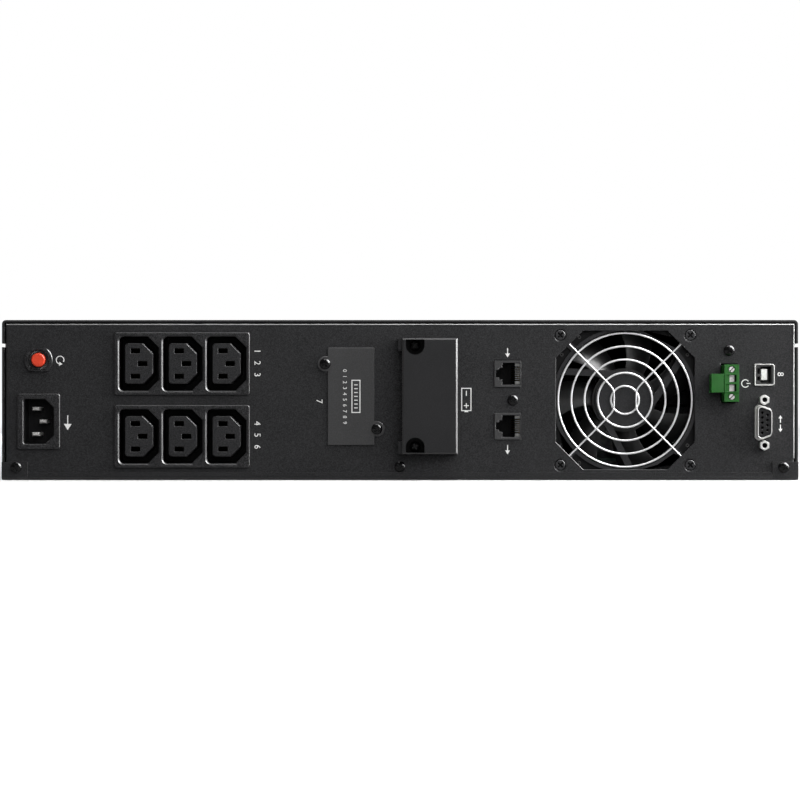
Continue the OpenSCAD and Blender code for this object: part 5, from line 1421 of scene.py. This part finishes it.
class SUPPLY_OT_marks(bpy.types.Operator):
    """Print plain figures, arrows and signs beside the connectors"""

    bl_idname = "supply.marks"
    bl_label = "Marks"

    def execute(self, context):
        marks = context.scene.supply_marks
        self.panel_marks(marks)
        self.plate_marks(marks)
        self.front_marks(marks)
        return {"FINISHED"}

    def panel_marks(self, marks):
        """Signs and figures on the rear panel, each with its place across and up in metres."""
        line = marks.line
        size = marks.height
        face = PANEL_FACE - marks.lift
        turn_back = joined([
            stroke(arc_path(0.62 * size, 60, 345), line),
            moved(turned(arrow_head(0.55 * size), 85), 0.60 * size, -0.16 * size)])
        off_sign = joined([
            stroke(arc_path(0.6 * size, 125, 415), line),
            stroke([(0, 0.2 * size), (0, 0.85 * size)], line)])
        cell = joined([
            frame_outline(3.6 * size, 1.5 * size, line),
            stroke([(1.95 * size, -0.3 * size), (1.95 * size, 0.3 * size)], 1.4 * line),
            moved(plus_sign(0.4 * size, line), 1.0 * size, 0),
            moved(stroke([(-0.4 * size, 0), (0.4 * size, 0)], line), -1.0 * size, 0)])
        short_arrow = arrow(1.2 * size, line)
        both_ways = joined([
            moved(short_arrow, 0.75 * size, 0),
            moved(turned(short_arrow, 180), -0.75 * size, 0)])
        jack_arrow = arrow(1.5 * size, line)
        rows = (
            (turn_back, -0.1870, 0.0660),
            (arrow(2.4 * size, line), -0.1828, 0.0315),
            (figures("1   2   3", size), -0.0786, 0.0644),
            (figures("4   5   6", size), -0.0786, 0.0247),
            (figures("7", size), -0.0445, 0.0433),
            (cell, 0.0365, 0.0443),
            (jack_arrow, 0.0592, 0.0700),
            (jack_arrow, 0.0592, 0.0167),
            (off_sign, 0.1900, 0.0531),
            (figures("8", size), 0.2092, 0.0582),
            (both_ways, 0.2093, 0.0310),
        )
        placed = [reading_down(shape, across, up, face) for shape, across, up in rows]
        print_marks("panel_marks", placed, REAR, marks.lift)

    def plate_marks(self, marks):
        """A card with seven lines, and a row of figures, on the slot's cover plate."""
        line = marks.line
        size = marks.height
        face = PLATE_FACE - marks.lift
        half_line = 0.28 * size
        step = 0.62 * size
        scale = figures("0  1  2  3  4  5  6  7  8  9", 0.62 * size)
        upright = stroke([(0, -half_line), (0, half_line)], line)
        uprights = [moved(upright, index * step, 0) for index in range(-3, 4)]
        card = joined([frame_outline(5.2 * size, 1.3 * size, line)] + uprights)
        placed = [reading_down(card, -0.0242, 0.0460, face), reading_down(scale, -0.0304, 0.0458, face)]
        print_marks("plate_marks", placed, REAR, marks.lift)

    def front_marks(self, marks):
        """Figures and a bar scale on the display, each so far off its middle, and a sign on each button."""
        line = marks.line
        size = marks.height
        across = (WINDOW_LOW.x + WINDOW_HIGH.x) / 2
        up = (WINDOW_LOW.z + WINDOW_HIGH.z) / 2
        glass = WINDOW_HIGH.y + marks.lift
        step = 1.2 * size
        bars = joined([
            stroke([(index * step, 0), (index * step, (0.8 + 0.25 * index) * size)], 0.7 * size)
            for index in range(6)])
        rows = (
            (figures("1 2 3", 3.2 * size), 0.020, 0.004),
            (figures("0 1 2 3 4 5 6 7 8 9", 0.7 * size), 0.020, -0.012),
            (bars, -0.014, -0.006),
            (frame_outline(26 * size, 11 * size, 0.5 * line), 0, 0),
        )
        placed = [upright_front(shape, across + right, up + rise, glass) for shape, right, rise in rows]
        print_marks("display_marks", placed, FRONT, marks.lift)
        head = moved(arrow_head(1.1 * size), -0.45 * size, 0)
        signs = {
            "button_left": head,
            "button_middle": stroke(arc_path(0.55 * size, 0, 349), line),
            "button_right": turned(head, 180),
        }
        for body, sign in signs.items():
            low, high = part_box(body)
            placed = upright_front(sign, (low.x + high.x) / 2, (low.z + high.z) / 2, high.y + marks.lift)
            print_marks(body + "_sign", [placed], FRONT, marks.lift, body)


# Stage

def area_light(name, place, size, power, target):
    """A softbox at a place, turned towards a target."""
    lamp = bpy.data.lights.new(name, "AREA")
    lamp.shape = "RECTANGLE"
    lamp.size, lamp.size_y = size
    lamp.energy = power
    holder = bpy.data.objects.new(name, lamp)
    holder.location = place
    aim = Vector(target) - Vector(place)
    holder.rotation_euler = aim.to_track_quat("-Z", "Y").to_euler()
    bpy.context.scene.collection.objects.link(holder)
    return holder


def studio_world(ambient, room):
    """White surroundings for what is seen directly or in a gloss, and softer ones for the light they give.

    In a gloss the room behind the camera is dimmer than the white that the object stands against.
    """
    plain_white = (1, 1, 1, 1)
    world = bpy.data.worlds.new("Studio")
    world.use_nodes = True
    tree = world.node_tree
    tree.nodes.clear()
    path = tree.nodes.new("ShaderNodeLightPath")
    seen = math_node(tree, "MAXIMUM", path.outputs["Is Camera Ray"], path.outputs["Is Glossy Ray"])
    seen = math_node(tree, "MAXIMUM", seen, path.outputs["Is Transmission Ray"])
    soft = tree.nodes.new("ShaderNodeBackground")
    soft.inputs["Color"].default_value = plain_white
    soft.inputs["Strength"].default_value = ambient
    white = tree.nodes.new("ShaderNodeBackground")
    white.inputs["Color"].default_value = plain_white
    room_light = range_node(tree, split(tree, object_place(tree))["Y"], 0.05, 0.60, room, 1.0)
    strength = math_node(tree, "MAXIMUM", room_light, path.outputs["Is Camera Ray"])
    tree.links.new(strength, white.inputs["Strength"])
    mixed = tree.nodes.new("ShaderNodeMixShader")
    tree.links.new(seen, mixed.inputs["Fac"])
    tree.links.new(soft.outputs[0], mixed.inputs[1])
    tree.links.new(white.outputs[0], mixed.inputs[2])
    given = tree.nodes.new("ShaderNodeOutputWorld")
    tree.links.new(mixed.outputs[0], given.inputs["Surface"])
    bpy.context.scene.world = world


def floor_finish(colour):
    """A pale floor that keeps shadows, looks white in full light and throws little light back.

    Its own glow grows with the distance from the object, so that the far floor meets the white surroundings.
    """
    gloss_share = 0.15
    bounce_share = 0.3
    material = bpy.data.materials.new("Pale floor")
    material.use_nodes = True
    tree = material.node_tree
    tree.nodes.clear()
    path = tree.nodes.new("ShaderNodeLightPath")
    gloss = math_node(tree, "MULTIPLY", path.outputs["Is Glossy Ray"], gloss_share)
    seen = math_node(tree, "MAXIMUM", path.outputs["Is Camera Ray"], gloss)
    matt = tree.nodes.new("ShaderNodeBsdfDiffuse")
    tree.links.new(mix_colour(tree, seen, times(colour, bounce_share), colour), matt.inputs["Color"])
    reach = tree.nodes.new("ShaderNodeVectorMath")
    reach.operation = "LENGTH"
    tree.links.new(object_place(tree), reach.inputs[0])
    far = range_node(tree, reach.outputs["Value"], 0.6, 3.0, 0.25, 0.85)
    glow = tree.nodes.new("ShaderNodeEmission")
    tree.links.new(math_node(tree, "MULTIPLY", seen, far), glow.inputs["Strength"])
    both = tree.nodes.new("ShaderNodeAddShader")
    tree.links.new(matt.outputs[0], both.inputs[0])
    tree.links.new(glow.outputs[0], both.inputs[1])
    given = tree.nodes.new("ShaderNodeOutputMaterial")
    tree.links.new(both.outputs[0], given.inputs["Surface"])
    return material


class SUPPLY_OT_stage(bpy.types.Operator):
    """Set the floor, the soft light and the camera"""

    bl_idname = "supply.stage"
    bl_label = "Stage"

    def execute(self, context):
        stage = context.scene.supply_stage
        context.scene.view_settings.view_transform = "Standard"
        self.place_floor(stage)
        studio_world(stage.ambient, stage.room)
        self.place_lights(stage)
        self.place_camera(stage)
        return {"FINISHED"}

    def place_floor(self, stage):
        """A wide floor just under the lowest solid."""
        half = 30.0
        ground = cad_box[0][2] - 0.2 * MM
        corners = [(-half, -half, ground), (half, -half, ground), (half, half, ground), (-half, half, ground)]
        mesh = bpy.data.meshes.new("floor")
        mesh.from_pydata(corners, [], [(0, 1, 2, 3)])
        mesh.materials.append(floor_finish(stage.floor))
        floor = bpy.data.objects.new("floor", mesh)
        bpy.context.scene.collection.objects.link(floor)

    def place_lights(self, stage):
        """Softboxes, each with its place, size and power; one gives no gloss, and one gives gloss alone."""
        aim = (0.0, COVER_REAR, PANEL_MIDDLE)
        rows = (
            ("Front softbox", (0.30, COVER_REAR - 1.25, 0.50), (0.8, 0.8), stage.front_power),
            ("Back softbox", (-0.40, 1.25 - COVER_REAR, 0.60), (0.6, 0.6), stage.back_power),
            ("Top softbox", (0.12, COVER_REAR - 0.30, 1.42), (1.2, 0.45), stage.top_power),
            ("Right softbox", (1.35, COVER_REAR - 0.18, 0.30), (0.6, 0.8), stage.side_power),
            ("Corner softbox", (0.95, COVER_REAR - 0.50, 0.90), (1.1, 1.1), stage.corner_power),
        )
        lights = {row[0]: area_light(*row, aim) for row in rows}
        lights["Front softbox"].visible_glossy = False
        lights["Corner softbox"].visible_diffuse = False

    def place_camera(self, stage):
        """A camera straight behind the rear, with a lens that gives the view's width there."""
        camera = bpy.data.cameras.new("Camera")
        camera.sensor_width = 36
        camera.lens = camera.sensor_width * stage.distance / stage.view_width
        camera.clip_end = 200
        holder = bpy.data.objects.new("Camera", camera)
        holder.location = (0, COVER_REAR - stage.distance, stage.eye)
        holder.rotation_euler = (math.pi / 2, 0, 0)
        bpy.context.scene.collection.objects.link(holder)
        bpy.context.scene.camera = holder


OPERATORS = (
    SUPPLY_OT_case,
    SUPPLY_OT_screws,
    SUPPLY_OT_connectors,
    SUPPLY_OT_trims,
    SUPPLY_OT_inside,
    SUPPLY_OT_front,
    SUPPLY_OT_rotor,
    SUPPLY_OT_guard,
    SUPPLY_OT_marks,
    SUPPLY_OT_stage,
)


class SUPPLY_PT_panel(bpy.types.Panel):
    """The steps that dress the power supply, in order"""

    bl_idname = "SUPPLY_PT_panel"
    bl_label = "Power supply"
    bl_space_type = "VIEW_3D"
    bl_region_type = "UI"
    bl_category = "Power supply"

    def draw(self, context):
        for operator in OPERATORS:
            self.layout.operator(operator.bl_idname)
        for name, group in SETTINGS.items():
            box = self.layout.box()
            for label in group.__annotations__:
                box.prop(getattr(context.scene, name), label)


CLASSES = (*SETTINGS.values(), *OPERATORS, SUPPLY_PT_panel)


def register():
    """Register the settings, the operators and the panel."""
    for item in CLASSES:
        bpy.utils.register_class(item)
    for name, group in SETTINGS.items():
        setattr(bpy.types.Scene, name, bpy.props.PointerProperty(type=group))


def unregister():
    """Take back what register did."""
    for name in SETTINGS:
        delattr(bpy.types.Scene, name)
    for item in reversed(CLASSES):
        bpy.utils.unregister_class(item)


def main():
    """Register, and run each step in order."""
    register()
    for operator in OPERATORS:
        group, name = operator.bl_idname.split(".")
        getattr(getattr(bpy.ops, group), name)()


if __name__ == "__main__":
    main()
